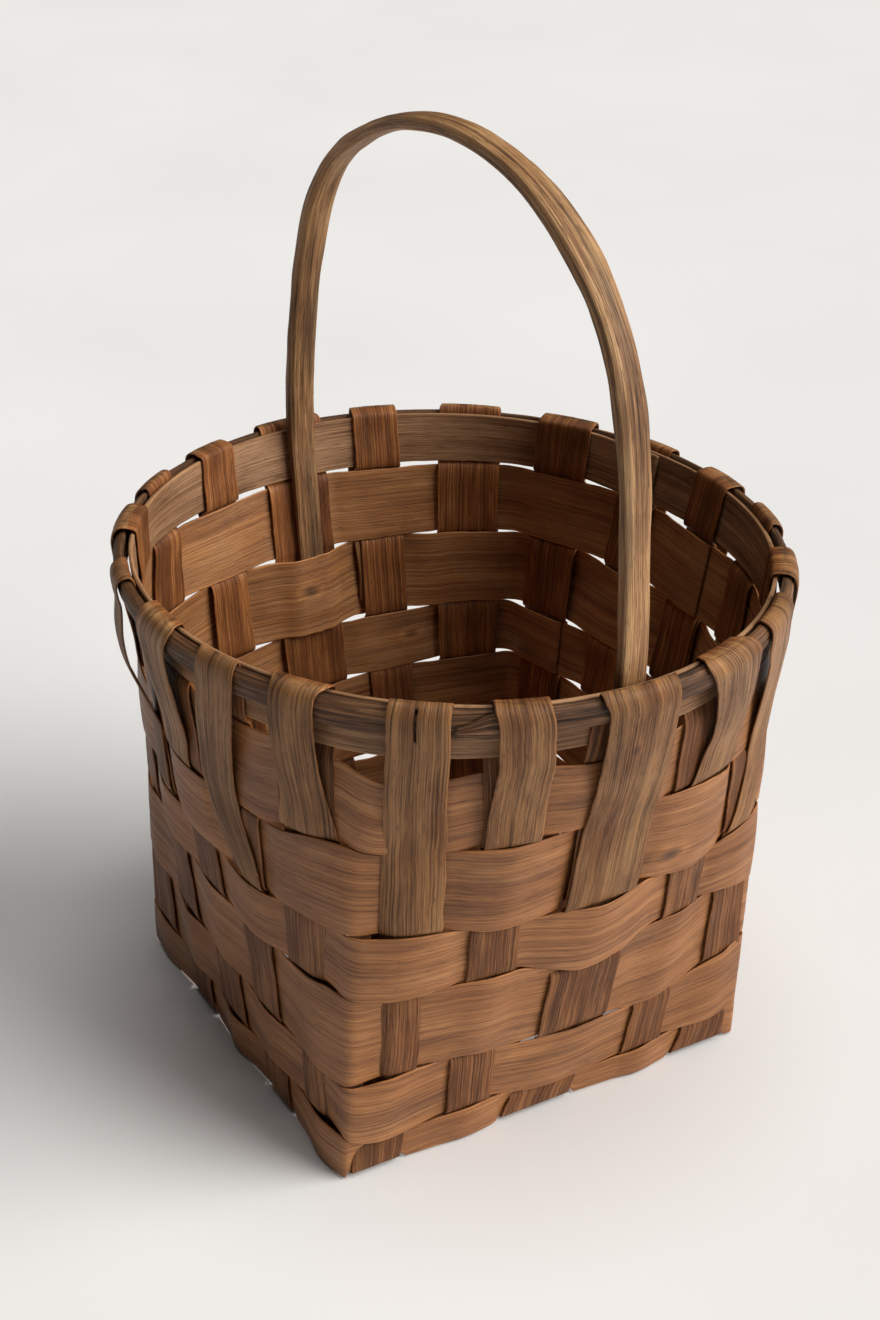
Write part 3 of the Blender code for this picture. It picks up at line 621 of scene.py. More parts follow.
def build_splint(name, ka, kb, seed, mat):
    width = (STAKES[ka][0] + STAKES[kb][0]) / 2 * MM
    extra = []
    for k in (ka, kb):
        for v0, half, *_ in SLITS.get(k, ()):
            extra += [v0 - half, v0 + half] if k == ka else [1 - v0 - half, 1 - v0 + half]
    cols = columns(width, extra=extra)
    up_a = stake_sheet(ka, cols, seed + 100)
    up_b = stake_sheet(kb, 1 - cols[::-1], seed + 200)
    b_mid = up_b["mid"][::-1, ::-1]
    a_mid = up_a["mid"]
    # across the base
    start, end = b_mid[-1], a_mid[0]
    run = np.linalg.norm((end - start).mean(0))
    steps = int(run / (2.2 * MM))
    t = np.linspace(0, 1, steps + 1)[1:-1]
    xs, ys = [0.0], [start[0][2]]
    for tc, hw, level in base_marks(name, ka, kb):
        lo, hi = max(tc - hw * 0.8, 0.022), min(tc + hw * 0.8, 0.978)
        xs += [lo, (lo + hi) / 2, hi]
        ys += [level, level + (0.12 * MM if level > MM else 0.0), level]
    xs.append(1.0)
    ys.append(end[0][2])
    zb = pchip(xs, ys, t)
    base = start[None] + (end - start)[None] * t[:, None, None]
    base[..., 2] = zb[:, None]
    mid = np.concatenate([b_mid, base, a_mid])
    nb, nm, na = len(b_mid), len(base), len(a_mid)
    n, m = mid.shape[:2]
    dist = np.concatenate([[0], np.cumsum(np.linalg.norm(np.diff(mid[:, m // 2], axis=0), axis=1))])
    wid = np.concatenate([up_b["width"][::-1], np.full((nm, m), width), up_a["width"]])
    across = (cols[None] - 0.5) * wid
    grain = np.stack([np.repeat(dist[:, None], m, 1), across, np.full((n, m), seed * 0.173)], -1)
    flat = np.zeros((nm, m, 3))
    flat[..., 0] = 0.15
    flat[..., 2] = edge_wear(cols, width)
    ins = np.concatenate([up_b["in_tone"][::-1, ::-1], flat, up_a["in_tone"]])
    outs = np.concatenate([up_b["out_tone"][::-1, ::-1], flat, up_a["out_tone"]])
    taper = np.minimum(dist, dist[-1] - dist)
    thick = SPLINT_T * np.clip(0.35 + taper / (9 * MM), 0, 1)[:, None] * np.ones((1, m))
    keep = np.ones((n - 1, m - 1), bool)
    for k, rows0, sheet, flip in ((ka, nb + nm, up_a, False), (kb, 0, up_b, True)):
        for v0, half, z_top, z_bot, gape in SLITS.get(k, ()):
            lo, hi = (v0 - half, v0 + half) if not flip else (1 - v0 - half, 1 - v0 + half)
            j = int(np.argmin(np.abs(cols - lo)))
            fz, zz = sheet["f"], sheet["z"]
            cell = (fz[:-1] > 0.25) & (zz[:-1] < z_top) & (zz[:-1] > z_bot)
            if flip:
                cell = cell[::-1]
            keep[rows0:rows0 + len(cell), j] &= ~cell
    arrays = shell_arrays(mid, thick, grain, ins, outs, keep)
    v, fcs, g, tn = arrays
    obj = link(name + "_wood", v, [tuple(int(i) for i in q) for q in fcs], g, tn, mat)
    return obj


# lengthwise splits in folded ends: place across, half width (both 0..1), from and to height, gape
SLITS = {2: ((0.455, 0.022, 0.2502, 0.2360, 0.0),)}


# ------------------------------------------------------------ weavers and inner hoop
def zone(k, r, z):
    lo, hi = stake_edges(k, z)
    if r >= tuck_row(k):
        t0, t1 = tail_edges(k, z)
        lo, hi = np.minimum(lo, t0), np.maximum(hi, t1)
    pad = 0.8 * MM / 0.043
    return float(lo - pad), float(hi + pad)


def ring_offset(r, lap, which):
    """Knots (place, offset) of a row's lower (0) or upper (1) edge round the basket."""
    ks, os = [], []
    for i in range(21):
        kk = lap + i
        k = (kk + 3) % 20 - 3
        turn = kk - k
        z = row_edges(r, k)[which] if r <= 6 else (HOOP_Z0, HOOP_Z1)[which]
        if r <= 6:
            off = layers(k, r)[1]
            outward = not stake_outside(k, r)
            rise = (1.5 if outward else -0.7) * MM * (1 + 0.4 * float(noise(kk * 1.7, r, 5)))
            if outward and r > tuck_row(k):
                rise = -0.4 * MM            # held down by the folded end over it
            if (k, r) == (4, 4):
                rise = (1.6, 3.0)[which] * MM
            lo, hi = zone(k, r, float(z))
        else:
            off, rise = 0.0, 0.0
            lo, hi = (float(v) for v in stake_edges(k, float(z)))
        if i == 0:
            off -= (HOOP_T + 0.5 * MM) if r == 7 else LAY
            rise = min(rise, -0.7 * MM) if r < 7 else 0.0
            lo += 3 * MM / 0.043
        if i == 20:
            hi -= 3 * MM / 0.043
            rise = 0.0
        if k in BOW_STAKES and r == 5:
            c = (lo + hi) / 2 if k != 4 else 4.0
            c = bow_place(k)
            knots = [(lo, off), (c - 7.6 * MM / 0.043, -5.5 * MM), (c + 7.6 * MM / 0.043, -5.5 * MM), (hi, off)]
        else:
            knots = [(lo, off), ((lo + hi) / 2, off + rise), (hi, off)]
        for s, o in knots:
            ks.append(s + turn)
            os.append(o)
    return np.array(ks), np.array(os)


def bow_place(k):
    """Place along the outline where the bow's leg crosses the XZ plane's wall point."""
    s = np.linspace(k - 0.6, k + 0.6, 241)
    y = wall(s, np.full_like(s, 0.16), np.zeros_like(s))[:, 1]
    return float(s[np.argmin(np.abs(y))])


# dark knots in the rows: place, height in mm, radius in mm
RING_KNOTS = {5: ((4.93, 141, 2.6), (14.1, 166, 2.2)), 4: ((12.8, 130, 1.8),)}


def build_ring(name, r, lap, seed, mat, step=2.0 * MM):
    k0, o0 = ring_offset(r, lap, 0)
    k1, o1 = ring_offset(r, lap, 1)
    sa, sb = min(k0[0], k1[0]), max(k0[-1], k1[-1])
    n = int((sb - sa) * 0.0435 / step)
    s = np.linspace(sa, sb, n + 1)
    if r <= 6:
        z0, z1 = row_edges(r, s)
        h = float(np.mean(z1 - z0))
    else:
        z0, z1 = np.full_like(s, HOOP_Z0), np.full_like(s, HOOP_Z1 + 0.2 * MM)
        h = float(np.mean(z1 - z0))
    cols = columns(h, step=2.1)
    m = len(cols)
    arc = (s - s[0]) * 0.0435
    amp = (0.29 if r <= 6 else 0.25) * MM
    near = 0.0 if r <= 6 else 0.4 * MM
    def ragged(edge):
        # rows lying edge to edge share one wavering line
        return noise(s * 1.9, edge * 3.7, 811) * 0.55 * MM + noise(s * 7.5, edge * 3.7, 812) * 0.22 * MM

    own = noise(arc / (5 * MM), 0, seed + 2) * amp * 0.25, noise(arc / (5 * MM), 0, seed + 4) * amp * 0.25
    s_round = s
    s = np.mod(s + 6.0, 20.0) - 6.0
    if r <= 6:
        z0 = z0 + (ragged(r) if r > 1 else 0.0) + own[0]
        z1 = z1 + ragged(r + 1) + own[1]
    else:
        z0 = z0 - near + ragged(8) * 0.5 + own[0]
        z1 = z1 + own[1]
    s = s_round
    v = cols[None, :]
    zz = z0[:, None] + (z1 - z0)[:, None] * v
    low, high = pchip(k0, o0, s), pchip(k1, o1, s)
    off = low[:, None] * (1 - v) + high[:, None] * v
    out = smoothstep(0.0, 1.6 * MM, (low + high) / 2)[:, None]
    crown = (0.10 + 0.75 * out) * MM * (0.75 - (2 * v - 1) ** 2) if r <= 6 else 0.0 * v
    off = off + crown + relief(arc[:, None], v * h, seed) + noise(arc[:, None] / (55 * MM), v * 1.3, seed + 9) * 0.06 * MM
    mid = wall(s[:, None], zz, off)
    n = len(s)
    dist = np.concatenate([[0], np.cumsum(np.linalg.norm(np.diff(mid[:, m // 2], axis=0), axis=1))])
    grain = np.stack([np.repeat(arc[:, None], m, 1), (v - 0.5) * (z1 - z0)[:, None], np.full((n, m), seed * 0.173)], -1)
    full = SPLINT_T if r <= 6 else HOOP_T
    taper = np.minimum(dist, dist[-1] - dist)
    thick = full * np.clip(0.3 + taper / (8 * MM), 0, 1)[:, None] * np.ones((1, m))
    tone = np.zeros((n, m, 3))
    tone[..., 2] = edge_wear(v, h)
    for ks, kz, kr in RING_KNOTS.get(r, ()):
        d = np.hypot((np.mod(s - ks + 10, 20) - 10)[:, None] * 43.5 * 0.6, zz / MM - kz)
        tone[..., 1] += 0.95 * np.exp(-(d / kr) ** 2) - 0.5 * np.exp(-((d - 1.9 * kr) / (0.5 * kr)) ** 2)
    pos = tone.copy()
    neg = tone.copy()
    pos[..., 0] = 0.18
    neg[..., 0] = 0.5
    neg[..., 1] -= 0.18
    arrays = shell_arrays(mid, thick, grain, pos, neg)
    vts, fcs, g, tn = arrays
    return link(name + "_wood", vts, [tuple(int(i) for i in q) for q in fcs], g, tn, mat)


# ------------------------------------------------------------ lofted rods
def loft_arrays(rings, grain, tone):
    n, m = rings.shape[:2]
    idx = np.arange(n * m).reshape(n, m)
    a, b = idx[:-1], idx[1:]
    faces = [tuple(int(x) for x in q) for q in np.stack([a, np.roll(a, -1, 1), np.roll(b, -1, 1), b], -1).reshape(-1, 4)]
    verts = rings.reshape(-1, 3)
    g, t = grain.reshape(-1, 3), tone.reshape(-1, 3)
    for end, order in ((0, -1), (n - 1, 1)):
        c = len(verts)
        verts = np.concatenate([verts, rings[end].mean(0)[None]])
        g = np.concatenate([g, grain[end].mean(0)[None]])
        t = np.concatenate([t, tone[end].mean(0)[None]])
        for i in range(m):
            p, q = int(idx[end, i]), int(idx[end, (i + 1) % m])
            faces.append((p, q, c) if order > 0 else (q, p, c))
    # turn the faces outward
    vol = 0.0
    vv = verts - verts.mean(0)
    for q in faces[::37]:
        vol += float(np.dot(vv[q[0]], np.cross(vv[q[1]], vv[q[2]])))
    vol = sum(float(np.dot(vv[q[0]], np.cross(vv[q[1]], vv[q[2]]))) + (float(np.dot(vv[q[0]], np.cross(vv[q[2]], vv[q[3]]))) if len(q) == 4 else 0.0) for q in faces)
    if vol < 0:
        faces = [q[::-1] for q in faces]
    return verts, faces, g, t


def build_outer_hoop(mat):
    """Half-round rod outside the stakes with split ridges along it and scarfed ends."""
    def reach(k, e):
        lo, hi = tail_edges(k, OUTER_ZC)
        a, b = stake_edges(k, OUTER_ZC)
        return float(min(lo, a)) if e == 0 else float(max(hi, b))

    full_in, full_out = OUTER_IN / MM, (OUTER_IN + OUTER_T) / MM
    s_keys = [reach(2, 1) + 0.03, 2.52, reach(3, 0), reach(3, 1), reach(4, 0),
              20 + reach(2, 0), 20 + reach(2, 1), 20 + reach(3, 0), 20 + reach(3, 1) - 0.03]
    inner = [7.2, 6.3, 5.7, 4.4, full_in, full_in, full_in, full_in, full_in]
    outer = [full_out, full_out, full_out, full_out, full_out, full_out, 6.5, 5.2, 3.9]
    n = 560
    s = np.linspace(s_keys[0], s_keys[-1], n)
    oi = np.interp(s, s_keys, inner)
    oo = np.interp(s, s_keys, outer)
    arc = (s - s[0]) * 0.0455
    m_out, m_in = 25, 7
    p = 2.5
    rings = np.zeros((n, m_out + m_in, 3))
    tone = np.zeros((n, m_out + m_in, 3))
    grain = np.zeros((n, m_out + m_in, 3))
    ang = np.linspace(-1, 1, m_out)
    tip = smoothstep(s_keys[0], s_keys[0] + 0.35, s)
    for j, a in enumerate(ang):
        hh = np.sign(a) * abs(math.sin(a * math.pi / 2)) ** 0.9
        prof = (1 - abs(hh) ** p) ** (1 / p)
        ridge = (-1.15 * math.exp(-((hh - 0.12) / 0.09) ** 2) - 0.8 * math.exp(-((hh + 0.50) / 0.08) ** 2)) * MM
        ridge = ridge * (0.55 + 0.45 * noise(arc / (35 * MM), j * 0.13, 31))
        fib = noise(arc / (24 * MM), j * 1.1, 33) * 0.24 * MM + noise(arc / (7 * MM), j * 1.7, 34) * 0.12 * MM
        o = OUTER_IN + OUTER_T * prof + (ridge + fib) * min(1.0, prof * 1.6)
        o = np.minimum(o, oo * MM)
        o = np.maximum(o, oi * MM + 0.25 * MM * prof)
        z = OUTER_ZC + OUTER_HZ * hh * (0.35 + 0.65 * tip) - (1 - tip) * 2.0 * MM
        z = z + noise(arc / (45 * MM), 0.7, 35) * 0.35 * MM
        rings[:, j] = wall(s, z, o)
        grain[:, j] = np.stack([arc, np.full(n, a * 9 * MM), np.full(n, 7.7)], -1)
        tone[:, j, 0] = 0.1
        # painted shade: darker down in the split grooves and in the dips of the fibre relief; painted highlight:
        # lighter on the raised fibres
        tone[:, j, 1] = np.clip(-ridge / (0.9 * MM), 0, 1) * 1.1 - 1.9 * fib / MM
        tone[:, j, 2] = 0.25 * (hh > 0.55)
    for i in range(m_in):
        hh = 1 - 2 * (i + 1) / (m_in + 1)
        j = m_out + i
        z = OUTER_ZC + OUTER_HZ * hh * 0.97 * (0.35 + 0.65 * tip) - (1 - tip) * 2.0 * MM
        z = z + noise(arc / (45 * MM), 0.7, 35) * 0.35 * MM
        rings[:, j] = wall(s, z, oi * MM)
        grain[:, j] = np.stack([arc, np.full(n, hh * 6 * MM + 0.03), np.full(n, 8.9)], -1)
        tone[:, j, 0] = 0.3
    v, f, g, t = loft_arrays(rings, grain, tone)
    return link("rim_hoop_outer_wood", v, f, g, t, mat)


# ------------------------------------------------------------ bow
def bow_stations():
    def leg(k):
        out = []
        for z, t, w, face in ((LEG_END_Z / MM, 2.4, 11.0, 0.9), (157, 2.6, 11.6, 0.95), (164, 2.7, 12.0, 1.05),
                              (180, 3.2, 12.6, 1.42), (200, 4.3, 13.0, 1.42),
                              (222, 5.6, 13.3, 1.42), (243, 6.5, 13.5, 1.42)):
            c = wall(np.array(float(stake_pos(k, z * MM))), np.array(z * MM), np.array(0.0))
            c1 = wall(np.array(float(stake_pos(k, z * MM)) + 0.02), np.array(z * MM), np.array(0.0))
            tan = (c1 - c) / np.linalg.norm(c1 - c)
            nor = np.array([tan[1], -tan[0], 0.0])
            lat = -c[1] / tan[1] + (0.8 * MM if tan[1] > 0 else -0.8 * MM)
            out.append((c + tan * lat - nor * (face + t / 2) * MM, tan, nor, w * MM, t * MM))
        return out

    right, left = leg(4), leg(14)
    pts = [q[0] for q in right]
    wide = [q[1] for q in right]
    size = [(q[3], q[4]) for q in right]
    tr, tl = right[-1][1], -left[-1][1]
    yr, yl = right[-1][0][1], left[-1][0][1]
    for i, (x, z) in enumerate(BOW_SHAPE):
        f = i / (len(BOW_SHAPE) - 1)
        pts.append(np.array([x * MM, yr + (yl - yr) * f, z * MM]))
        w = tr + (tl - tr) * f
        wide.append(w / np.linalg.norm(w))
        size.append((BOW_W, BOW_T))
    pts += [q[0] for q in reversed(left)]
    wide += [-q[1] for q in reversed(left)]
    size += [(q[3], q[4]) for q in reversed(left)]
    return np.array(pts), np.array(wide), np.array(size)


def build_bow(mat):
    pts, wide, size = bow_stations()
    data = np.concatenate([pts, wide, size], 1)
    # resample: a smooth curve through the stations, about 2.5 mm apart
    d = np.concatenate([[0], np.cumsum(np.linalg.norm(np.diff(pts, axis=0), axis=1) ** 0.5)])
    full = []
    for i in range(len(data) - 1):
        p1, p2 = data[i], data[i + 1]
        p0 = data[i - 1] if i else 2 * p1 - p2
        p3 = data[i + 2] if i + 2 < len(data) else 2 * p2 - p1
        t1 = d[i + 1] - d[i]
        t0 = d[i] - d[i - 1] if i else t1
        t2 = d[i + 2] - d[i + 1] if i + 2 < len(data) else t1
        m1 = ((p1 - p0) / t0 * t1 + (p2 - p1) / t1 * t0) / (t0 + t1) * t1
        m2 = ((p2 - p1) / t1 * t2 + (p3 - p2) / t2 * t1) / (t1 + t2) * t1
        n = max(int(np.linalg.norm(p2[:3] - p1[:3]) / (2.2 * MM)), 1)
        for j in range(n):
            t = j / n
            full.append((2 * t ** 3 - 3 * t * t + 1) * p1 + (t ** 3 - 2 * t * t + t) * m1
                        + (-2 * t ** 3 + 3 * t * t) * p2 + (t ** 3 - t * t) * m2)
    full.append(data[-1])
    full = np.array(full)
    c, wd, sz = full[:, :3], full[:, 3:6], full[:, 6:]
    tan = np.gradient(c, axis=0)
    tan /= np.linalg.norm(tan, axis=1, keepdims=True)
    wd = wd - tan * np.sum(wd * tan, 1, keepdims=True)
    wd /= np.linalg.norm(wd, axis=1, keepdims=True)
    deep = np.cross(wd, tan)
    arc = np.concatenate([[0], np.cumsum(np.linalg.norm(np.diff(c, axis=0), axis=1))])
    n, m = len(full), 36
    rings = np.zeros((n, m, 3))
    grain = np.zeros((n, m, 3))
    tone = np.zeros((n, m, 3))
    free = smoothstep(0.235, 0.262, c[:, 2])            # above the hoops
    widen = 1 + free * (0.05 * noise(arc / (70 * MM), 0, 61) + 0.03 * noise(arc / (21 * MM), 0, 62))
    for j in range(m):
        a = 2 * math.pi * (j + 0.5) / m
        ca, sa = math.cos(a), math.sin(a)
        q = 3.1                                             # squarish, whittled section
        rad = (abs(ca) ** q + abs(sa) ** q) ** (-1 / q)
        x, y = ca * rad, sa * rad
        cut = free * (0.10 * noise(arc / (48 * MM), j * 0.25, 63) + 0.05 * noise(arc / (16 * MM), j * 0.6, 64))
        cut = np.minimum(cut, 0.05)
        fib = (0.5 + 0.5 * free) * (noise(arc / (26 * MM), j * 1.0, 65) * 0.12 + noise(arc / (8 * MM), j * 1.0, 66) * 0.05) * MM
        sx = sz[:, 0] / 2 * widen * (1 + cut)
        sy = sz[:, 1] / 2 * widen * (1 + cut)
        r_in = x * sx, y * sy
        px = r_in[0] + np.sign(x) * abs(x) * fib * 0.6
        py = r_in[1] + np.sign(y) * abs(y) * fib * 0.6
        rings[:, j] = c + wd * px[:, None] + deep * py[:, None]
        grain[:, j] = np.stack([arc, np.full(n, (a / (2 * math.pi)) * 0.036), np.full(n, 3.3)], -1)
        corner = math.exp(-((abs(abs(ca) - abs(sa))) / 0.25) ** 2)
        tone[:, j, 2] = corner
        tone[:, j, 1] = 0.75 * np.clip(noise(arc / (42 * MM), j * 0.5, 67) - 0.05, 0, 1)
        tone[:, j, 0] = 0.2
    v, f, g, t = loft_arrays(rings, grain, tone)
    return link("bow_handle_wood", v, f, g, t, mat)


# ------------------------------------------------------------ materials
class Net:
    def __init__(self, name):
        self.mat = bpy.data.materials.new(name)
        self.mat.use_nodes = True
        self.tree = self.mat.node_tree
        self.tree.nodes.clear()
        self.out = self.tree.nodes.new("ShaderNodeOutputMaterial")
        self.bsdf = self.tree.nodes.new("ShaderNodeBsdfPrincipled")
        self.tree.links.new(self.bsdf.outputs[0], self.out.inputs[0])

    def put(self, socket, value):
        if isinstance(value, bpy.types.NodeSocket):
            self.tree.links.new(value, socket)
        else:
            socket.default_value = value

    def math(self, op, a, b=0.0, clamp=False):
        n = self.tree.nodes.new("ShaderNodeMath")
        n.operation = op
        n.use_clamp = clamp
        self.put(n.inputs[0], a)
        self.put(n.inputs[1], b)
        return n.outputs[0]

    def mix(self, fac, a, b, mode="MIX"):
        n = self.tree.nodes.new("ShaderNodeMix")
        n.data_type = "RGBA"
        n.blend_type = mode
        self.put(n.inputs[0], fac)
        self.put(n.inputs[6], a)
        self.put(n.inputs[7], b)
        return n.outputs[2]

    def vec(self, x, y, z):
        n = self.tree.nodes.new("ShaderNodeCombineXYZ")
        for i, v in enumerate((x, y, z)):
            self.put(n.inputs[i], v)
        return n.outputs[0]

    def noise(self, vec, detail=2.0, rough=0.55):
        n = self.tree.nodes.new("ShaderNodeTexNoise")
        n.inputs["Scale"].default_value = 1.0
        n.inputs["Detail"].default_value = detail
        n.inputs["Roughness"].default_value = rough
        self.put(n.inputs["Vector"], vec)
        return n.outputs[0]

    def ramp(self, fac, stops):
        n = self.tree.nodes.new("ShaderNodeValToRGB")
        self.put(n.inputs[0], fac)
        e = n.color_ramp.elements
        while len(e) > 1:
            e.remove(e[-1])
        e[0].position, e[0].color = stops[0][0], stops[0][1]
        for pos, col in stops[1:]:
            s = e.new(pos)
            s.color = col
        return n.outputs[0]

    def span(self, fac, lo, hi, to_lo=0.0, to_hi=1.0):
        n = self.tree.nodes.new("ShaderNodeMapRange")
        n.clamp = True
        self.put(n.inputs[0], fac)
        for i, v in enumerate((lo, hi, to_lo, to_hi)):
            n.inputs[i + 1].default_value = v
        return n.outputs[0]


def rgb(r, g, b):
    """Display colour (0..255) as scene-linear."""
    def lin(c):
        c = c / 255.0
        return c / 12.92 if c <= 0.04045 else ((c + 0.055) / 1.055) ** 2.4
    return lin(r), lin(g), lin(b), 1.0


def wood(name, dark, mid, light, grey_dark, grey_light, edge, seed=0.0, rough=(0.5, 0.72),
         fibre=1.0, bump=0.00022, coarse=1.0, knots=(), rim=0.45, shine=0.3, soft=0.0):
    net = Net(name)
    m = net.math
    at = net.tree.nodes.new("ShaderNodeAttribute")
    at.attribute_name = "grain"
    sep = net.tree.nodes.new("ShaderNodeSeparateXYZ")
    net.put(sep.inputs[0], at.outputs["Vector"])
    a, b, c = sep.outputs
    tn = net.tree.nodes.new("ShaderNodeAttribute")
    tn.attribute_name = "tone"
    tsep = net.tree.nodes.new("ShaderNodeSeparateXYZ")
    net.put(tsep.inputs[0], tn.outputs["Vector"])
    grey, shade, wear = tsep.outputs
    c = m("ADD", c, seed)
    wob = m("MULTIPLY", m("SUBTRACT", net.noise(net.vec(m("MULTIPLY", a, 9.0), m("MULTIPLY", b, 30.0), c), 2.0), 0.5), 0.0022)
    b2 = m("ADD", b, wob)

    def layer(ka, kb, shift, detail=2.0, rough_=0.55):
        return net.noise(net.vec(m("MULTIPLY", a, ka), m("MULTIPLY", b2, kb), m("ADD", c, shift)), detail, rough_)

    band = layer(4.5, 150.0 * coarse, 3.1, 2.0)
    streak = layer(9.0, 900.0 * coarse, 11.3, 3.0)
    fib = layer(50.0, 2600.0 * coarse, 23.7, 2.0, 0.6)
    blot = net.noise(net.vec(m("MULTIPLY", a, 24.0), m("MULTIPLY", b, 60.0), m("ADD", c, 31.0)), 3.0)
    pore = layer(150.0, 2300.0, 47.0, 1.0)
    value = m("ADD", m("ADD", m("MULTIPLY", band, 0.24), m("MULTIPLY", streak, 0.42)),
              m("MULTIPLY", fib, 0.34 * fibre))
    value = m("ADD", value, m("MULTIPLY", m("SUBTRACT", blot, 0.5), 0.20))
    warm = net.ramp(value, [(0.36 - 0.06 * soft, dark), (0.50, mid), (0.64 + 0.05 * soft, light)])
    stain = net.noise(net.vec(m("MULTIPLY", a, 13.0), m("MULTIPLY", b, 70.0), m("ADD", c, 83.0)), 3.0, 0.6)
    warm = net.mix(m("MULTIPLY", net.span(stain, 0.50, 0.68), 0.55), warm, dark)
    cool = net.ramp(value, [(0.37, grey_dark), (0.60, grey_light)])
    amount = m("MULTIPLY", grey, net.span(blot, 0.30, 0.62, 0.35, 1.0))
    col = net.mix(amount, warm, cool)
    worn = m("MULTIPLY", m("MULTIPLY", wear, net.span(streak, 0.34, 0.6, 0.2, 0.95)), net.span(blot, 0.38, 0.62, 0.25, 1.0))
    col = net.mix(m("MULTIPLY", worn, rim), col, edge)
    pores = net.span(pore, 0.62, 0.72)
    flecks = net.span(layer(40.0, 900.0, 61.0, 2.0), 0.63, 0.72)
    low = m("SUBTRACT", 1.0, m("MULTIPLY", pores, 0.45))
    # the tone's shade channel darkens, or lightens where negative: real knots and patches, plus painted shade in hoop
    # grooves and fold cracks and a painted highlight on fold tops
    low = m("MULTIPLY", low, m("SUBTRACT", 1.0, m("MULTIPLY", shade, 0.8)))
    for ka, kb, kr in knots:
        dx = m("MULTIPLY", m("SUBTRACT", a, ka), 0.55)
        dy = m("SUBTRACT", b, kb)
        d = m("SQRT", m("ADD", m("MULTIPLY", dx, dx), m("MULTIPLY", dy, dy)))
        low = m("MULTIPLY", low, net.span(d, kr * 0.35, kr, 0.25, 1.0))
    tint = net.mix(1.0, col, net.vec(low, low, low), "MULTIPLY")
    col = net.mix(m("MULTIPLY", flecks, 0.35), tint, light)
    net.put(net.bsdf.inputs["Base Color"], col)
    net.put(net.bsdf.inputs["Roughness"], net.span(value, 0.38, 0.62, rough[1], rough[0]))
    net.bsdf.inputs["Specular IOR Level"].default_value = shine
    bn = net.tree.nodes.new("ShaderNodeBump")
    bn.inputs["Strength"].default_value = 0.85
    bn.inputs["Distance"].default_value = bump
    height = m("SUBTRACT", m("ADD", m("MULTIPLY", fib, 0.9), m("MULTIPLY", streak, 1.1)), m("MULTIPLY", pores, 0.5))
    net.put(bn.inputs["Height"], height)
    net.put(net.bsdf.inputs["Normal"], bn.outputs[0])
    return net.mat


def make_materials():
    mats = {}
    for i, (name, _, _) in enumerate(SPLINTS):
        mats[name] = wood(name + "_finish", rgb(54, 29, 13), rgb(110, 64, 32), rgb(160, 108, 62),
                          rgb(54, 32, 16), rgb(164, 120, 76), rgb(158, 94, 46), seed=1.7 * i,
                          rough=(0.42, 0.64), bump=0.0003, coarse=1.45, rim=0.35, shine=0.25)
    for r in range(1, NROWS + 1):
        mats["weaver_row%d" % r] = wood("weaver_row%d_finish" % r, rgb(84, 46, 21), rgb(152, 96, 50), rgb(188, 133, 80),
                                        rgb(98, 63, 37), rgb(184, 141, 98), rgb(196, 122, 56),
                                        seed=20 + 2.3 * r, rough=(0.36, 0.56), fibre=0.8, bump=0.00018,
                                        coarse=1.25, rim=0.5, shine=0.4, soft=1.1)
    mats["rim_hoop_inner"] = wood("rim_hoop_inner_finish", rgb(76, 46, 27), rgb(134, 94, 62), rgb(172, 132, 96),
                                  rgb(90, 61, 40), rgb(166, 130, 98), rgb(190, 142, 96), seed=50.0, coarse=1.2)
    mats["rim_hoop_outer"] = wood("rim_hoop_outer_finish", rgb(34, 19, 10), rgb(92, 57, 32), rgb(150, 106, 66),
                                  rgb(44, 28, 17), rgb(140, 106, 74), rgb(168, 120, 72), seed=60.0,
                                  bump=0.0004, coarse=1.2, shine=0.35)
    mats["bow_handle"] = wood("bow_handle_finish", rgb(62, 36, 17), rgb(142, 96, 54), rgb(200, 156, 104),
                              rgb(92, 62, 38), rgb(200, 164, 124), rgb(212, 166, 112), seed=70.0,
                              bump=0.0004, shine=0.45)
    return mats


# ------------------------------------------------------------ camera, floor, light
def aim(obj, target):
    d = Vector(target) - obj.location
    obj.rotation_euler = d.to_track_quat("-Z", "Y").to_euler()


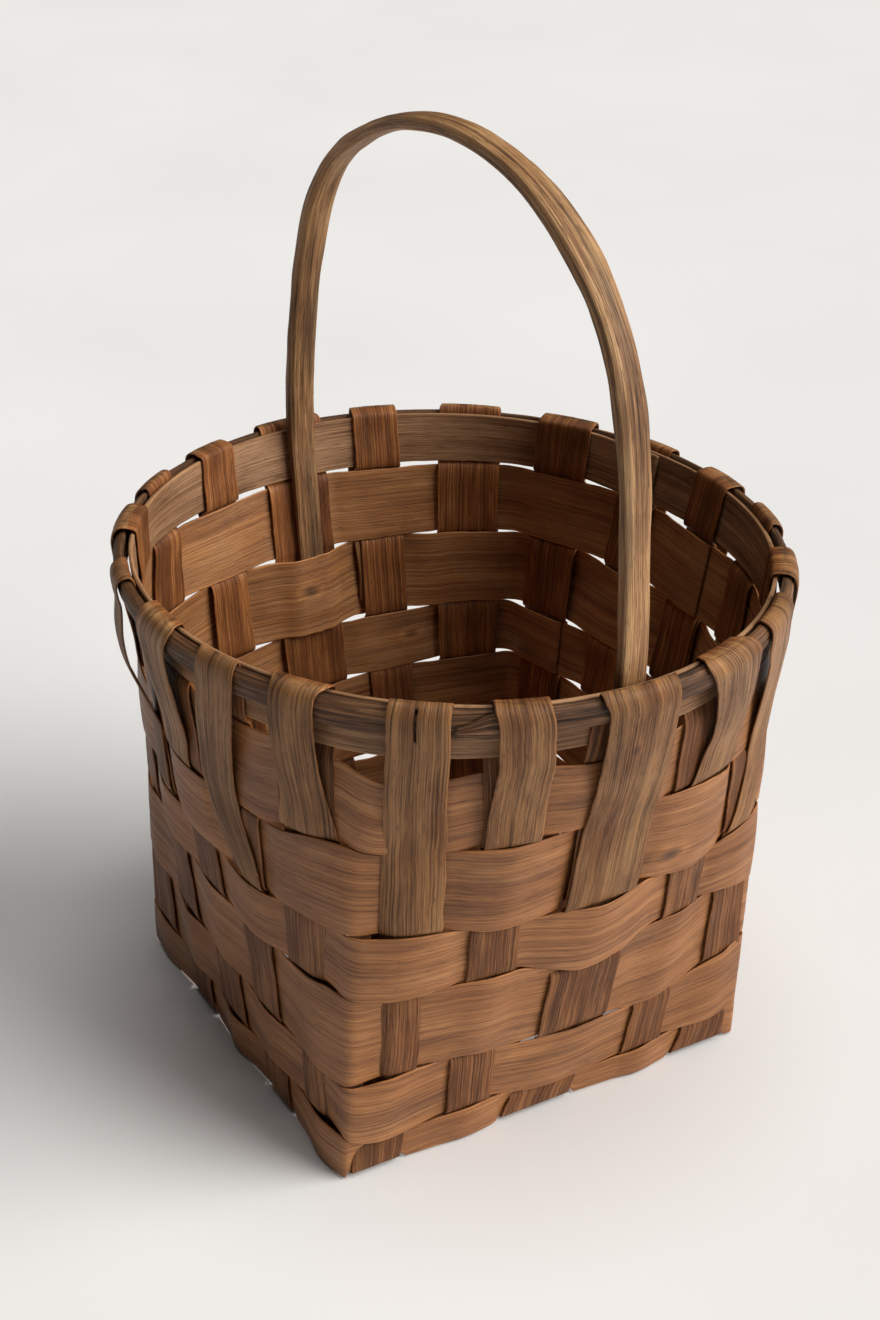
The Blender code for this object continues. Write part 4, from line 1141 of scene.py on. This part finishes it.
def make_stage():
    cam = bpy.data.cameras.new("camera")
    cam.lens = 59.46
    cam.sensor_width = 36.0
    cam.clip_end = 50.0
    ob = bpy.data.objects.new("camera", cam)
    bpy.context.scene.collection.objects.link(ob)
    ob.location = (0.76566, -0.43176, 0.66487)
    aim(ob, (-0.28972, 0.16737, 0.00091))
    bpy.context.scene.camera = ob

    bpy.ops.mesh.primitive_circle_add(vertices=96, radius=9.0, fill_type="NGON", location=(0, 0, -0.0002))
    floor = bpy.context.object
    floor.name = "floor"
    net = Net("floor_paper")
    co = net.tree.nodes.new("ShaderNodeTexCoord")
    n = net.tree.nodes.new("ShaderNodeTexNoise")
    n.inputs["Scale"].default_value = 3.0
    net.put(n.inputs["Vector"], co.outputs["Object"])
    net.put(net.bsdf.inputs["Base Color"], net.ramp(n.outputs[0], [(0.3, rgb(231, 230, 229)), (0.7, rgb(236, 235, 234))]))
    net.bsdf.inputs["Roughness"].default_value = 0.9
    net.bsdf.inputs["Specular IOR Level"].default_value = 0.2
    floor.data.materials.append(net.mat)

    world = bpy.data.worlds.new("studio")
    world.use_nodes = True
    bpy.context.scene.world = world
    tree = world.node_tree
    seen = tree.nodes["Background"]
    seen.inputs[0].default_value = (0.86, 0.87, 0.88, 1)
    seen.inputs[1].default_value = 0.9
    lit = tree.nodes.new("ShaderNodeBackground")
    lit.inputs[0].default_value = (1.0, 0.96, 0.92, 1)
    lit.inputs[1].default_value = 0.045
    path = tree.nodes.new("ShaderNodeLightPath")
    both = tree.nodes.new("ShaderNodeMixShader")
    tree.links.new(path.outputs["Is Camera Ray"], both.inputs[0])
    tree.links.new(lit.outputs[0], both.inputs[1])
    tree.links.new(seen.outputs[0], both.inputs[2])
    tree.links.new(both.outputs[0], tree.nodes["World Output"].inputs[0])

    def sun(name, azimuth, elevation, spread, power, colour):
        l = bpy.data.lights.new(name, "SUN")
        l.energy = power
        l.angle = math.radians(spread)
        l.color = colour
        o = bpy.data.objects.new(name, l)
        bpy.context.scene.collection.objects.link(o)
        az, el = math.radians(azimuth), math.radians(elevation)
        o.location = (3 * math.cos(az) * math.cos(el), 3 * math.sin(az) * math.cos(el), 3 * math.sin(el))
        aim(o, (0, 0, 0))

    # a broad window to the right of the camera and a wash from above
    sun("window", 47, 31, 54, 4.1, (1.0, 0.985, 0.96))
    sun("wash", 40, 87, 30, 1.0, (1.0, 0.99, 0.98))


# ------------------------------------------------------------ build everything
def main():
    mats = make_materials()
    made = []
    for i, (name, ka, kb) in enumerate(SPLINTS):
        made.append((build_splint(name, ka, kb, 11 + 17 * i, mats[name]), name, "stake_splint"))
    for r in range(1, NROWS + 1):
        name = "weaver_row%d" % r
        made.append((build_ring(name, r, ROW_LAP[r], 301 + 13 * r, mats[name]), name, "weaver_splint"))
    made.append((build_ring("rim_hoop_inner", 7, HOOP_LAP, 401, mats["rim_hoop_inner"]), "rim_hoop_inner", "hoop_wood"))
    made.append((build_outer_hoop(mats["rim_hoop_outer"]), "rim_hoop_outer", "hoop_wood"))
    made.append((build_bow(mats["bow_handle"]), "bow_handle", "bow_wood"))
    for obj, node, slot in made:
        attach(obj, "root")
        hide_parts(node)
    make_stage()
    bpy.context.scene.view_settings.view_transform = "Standard"
    return made


main()
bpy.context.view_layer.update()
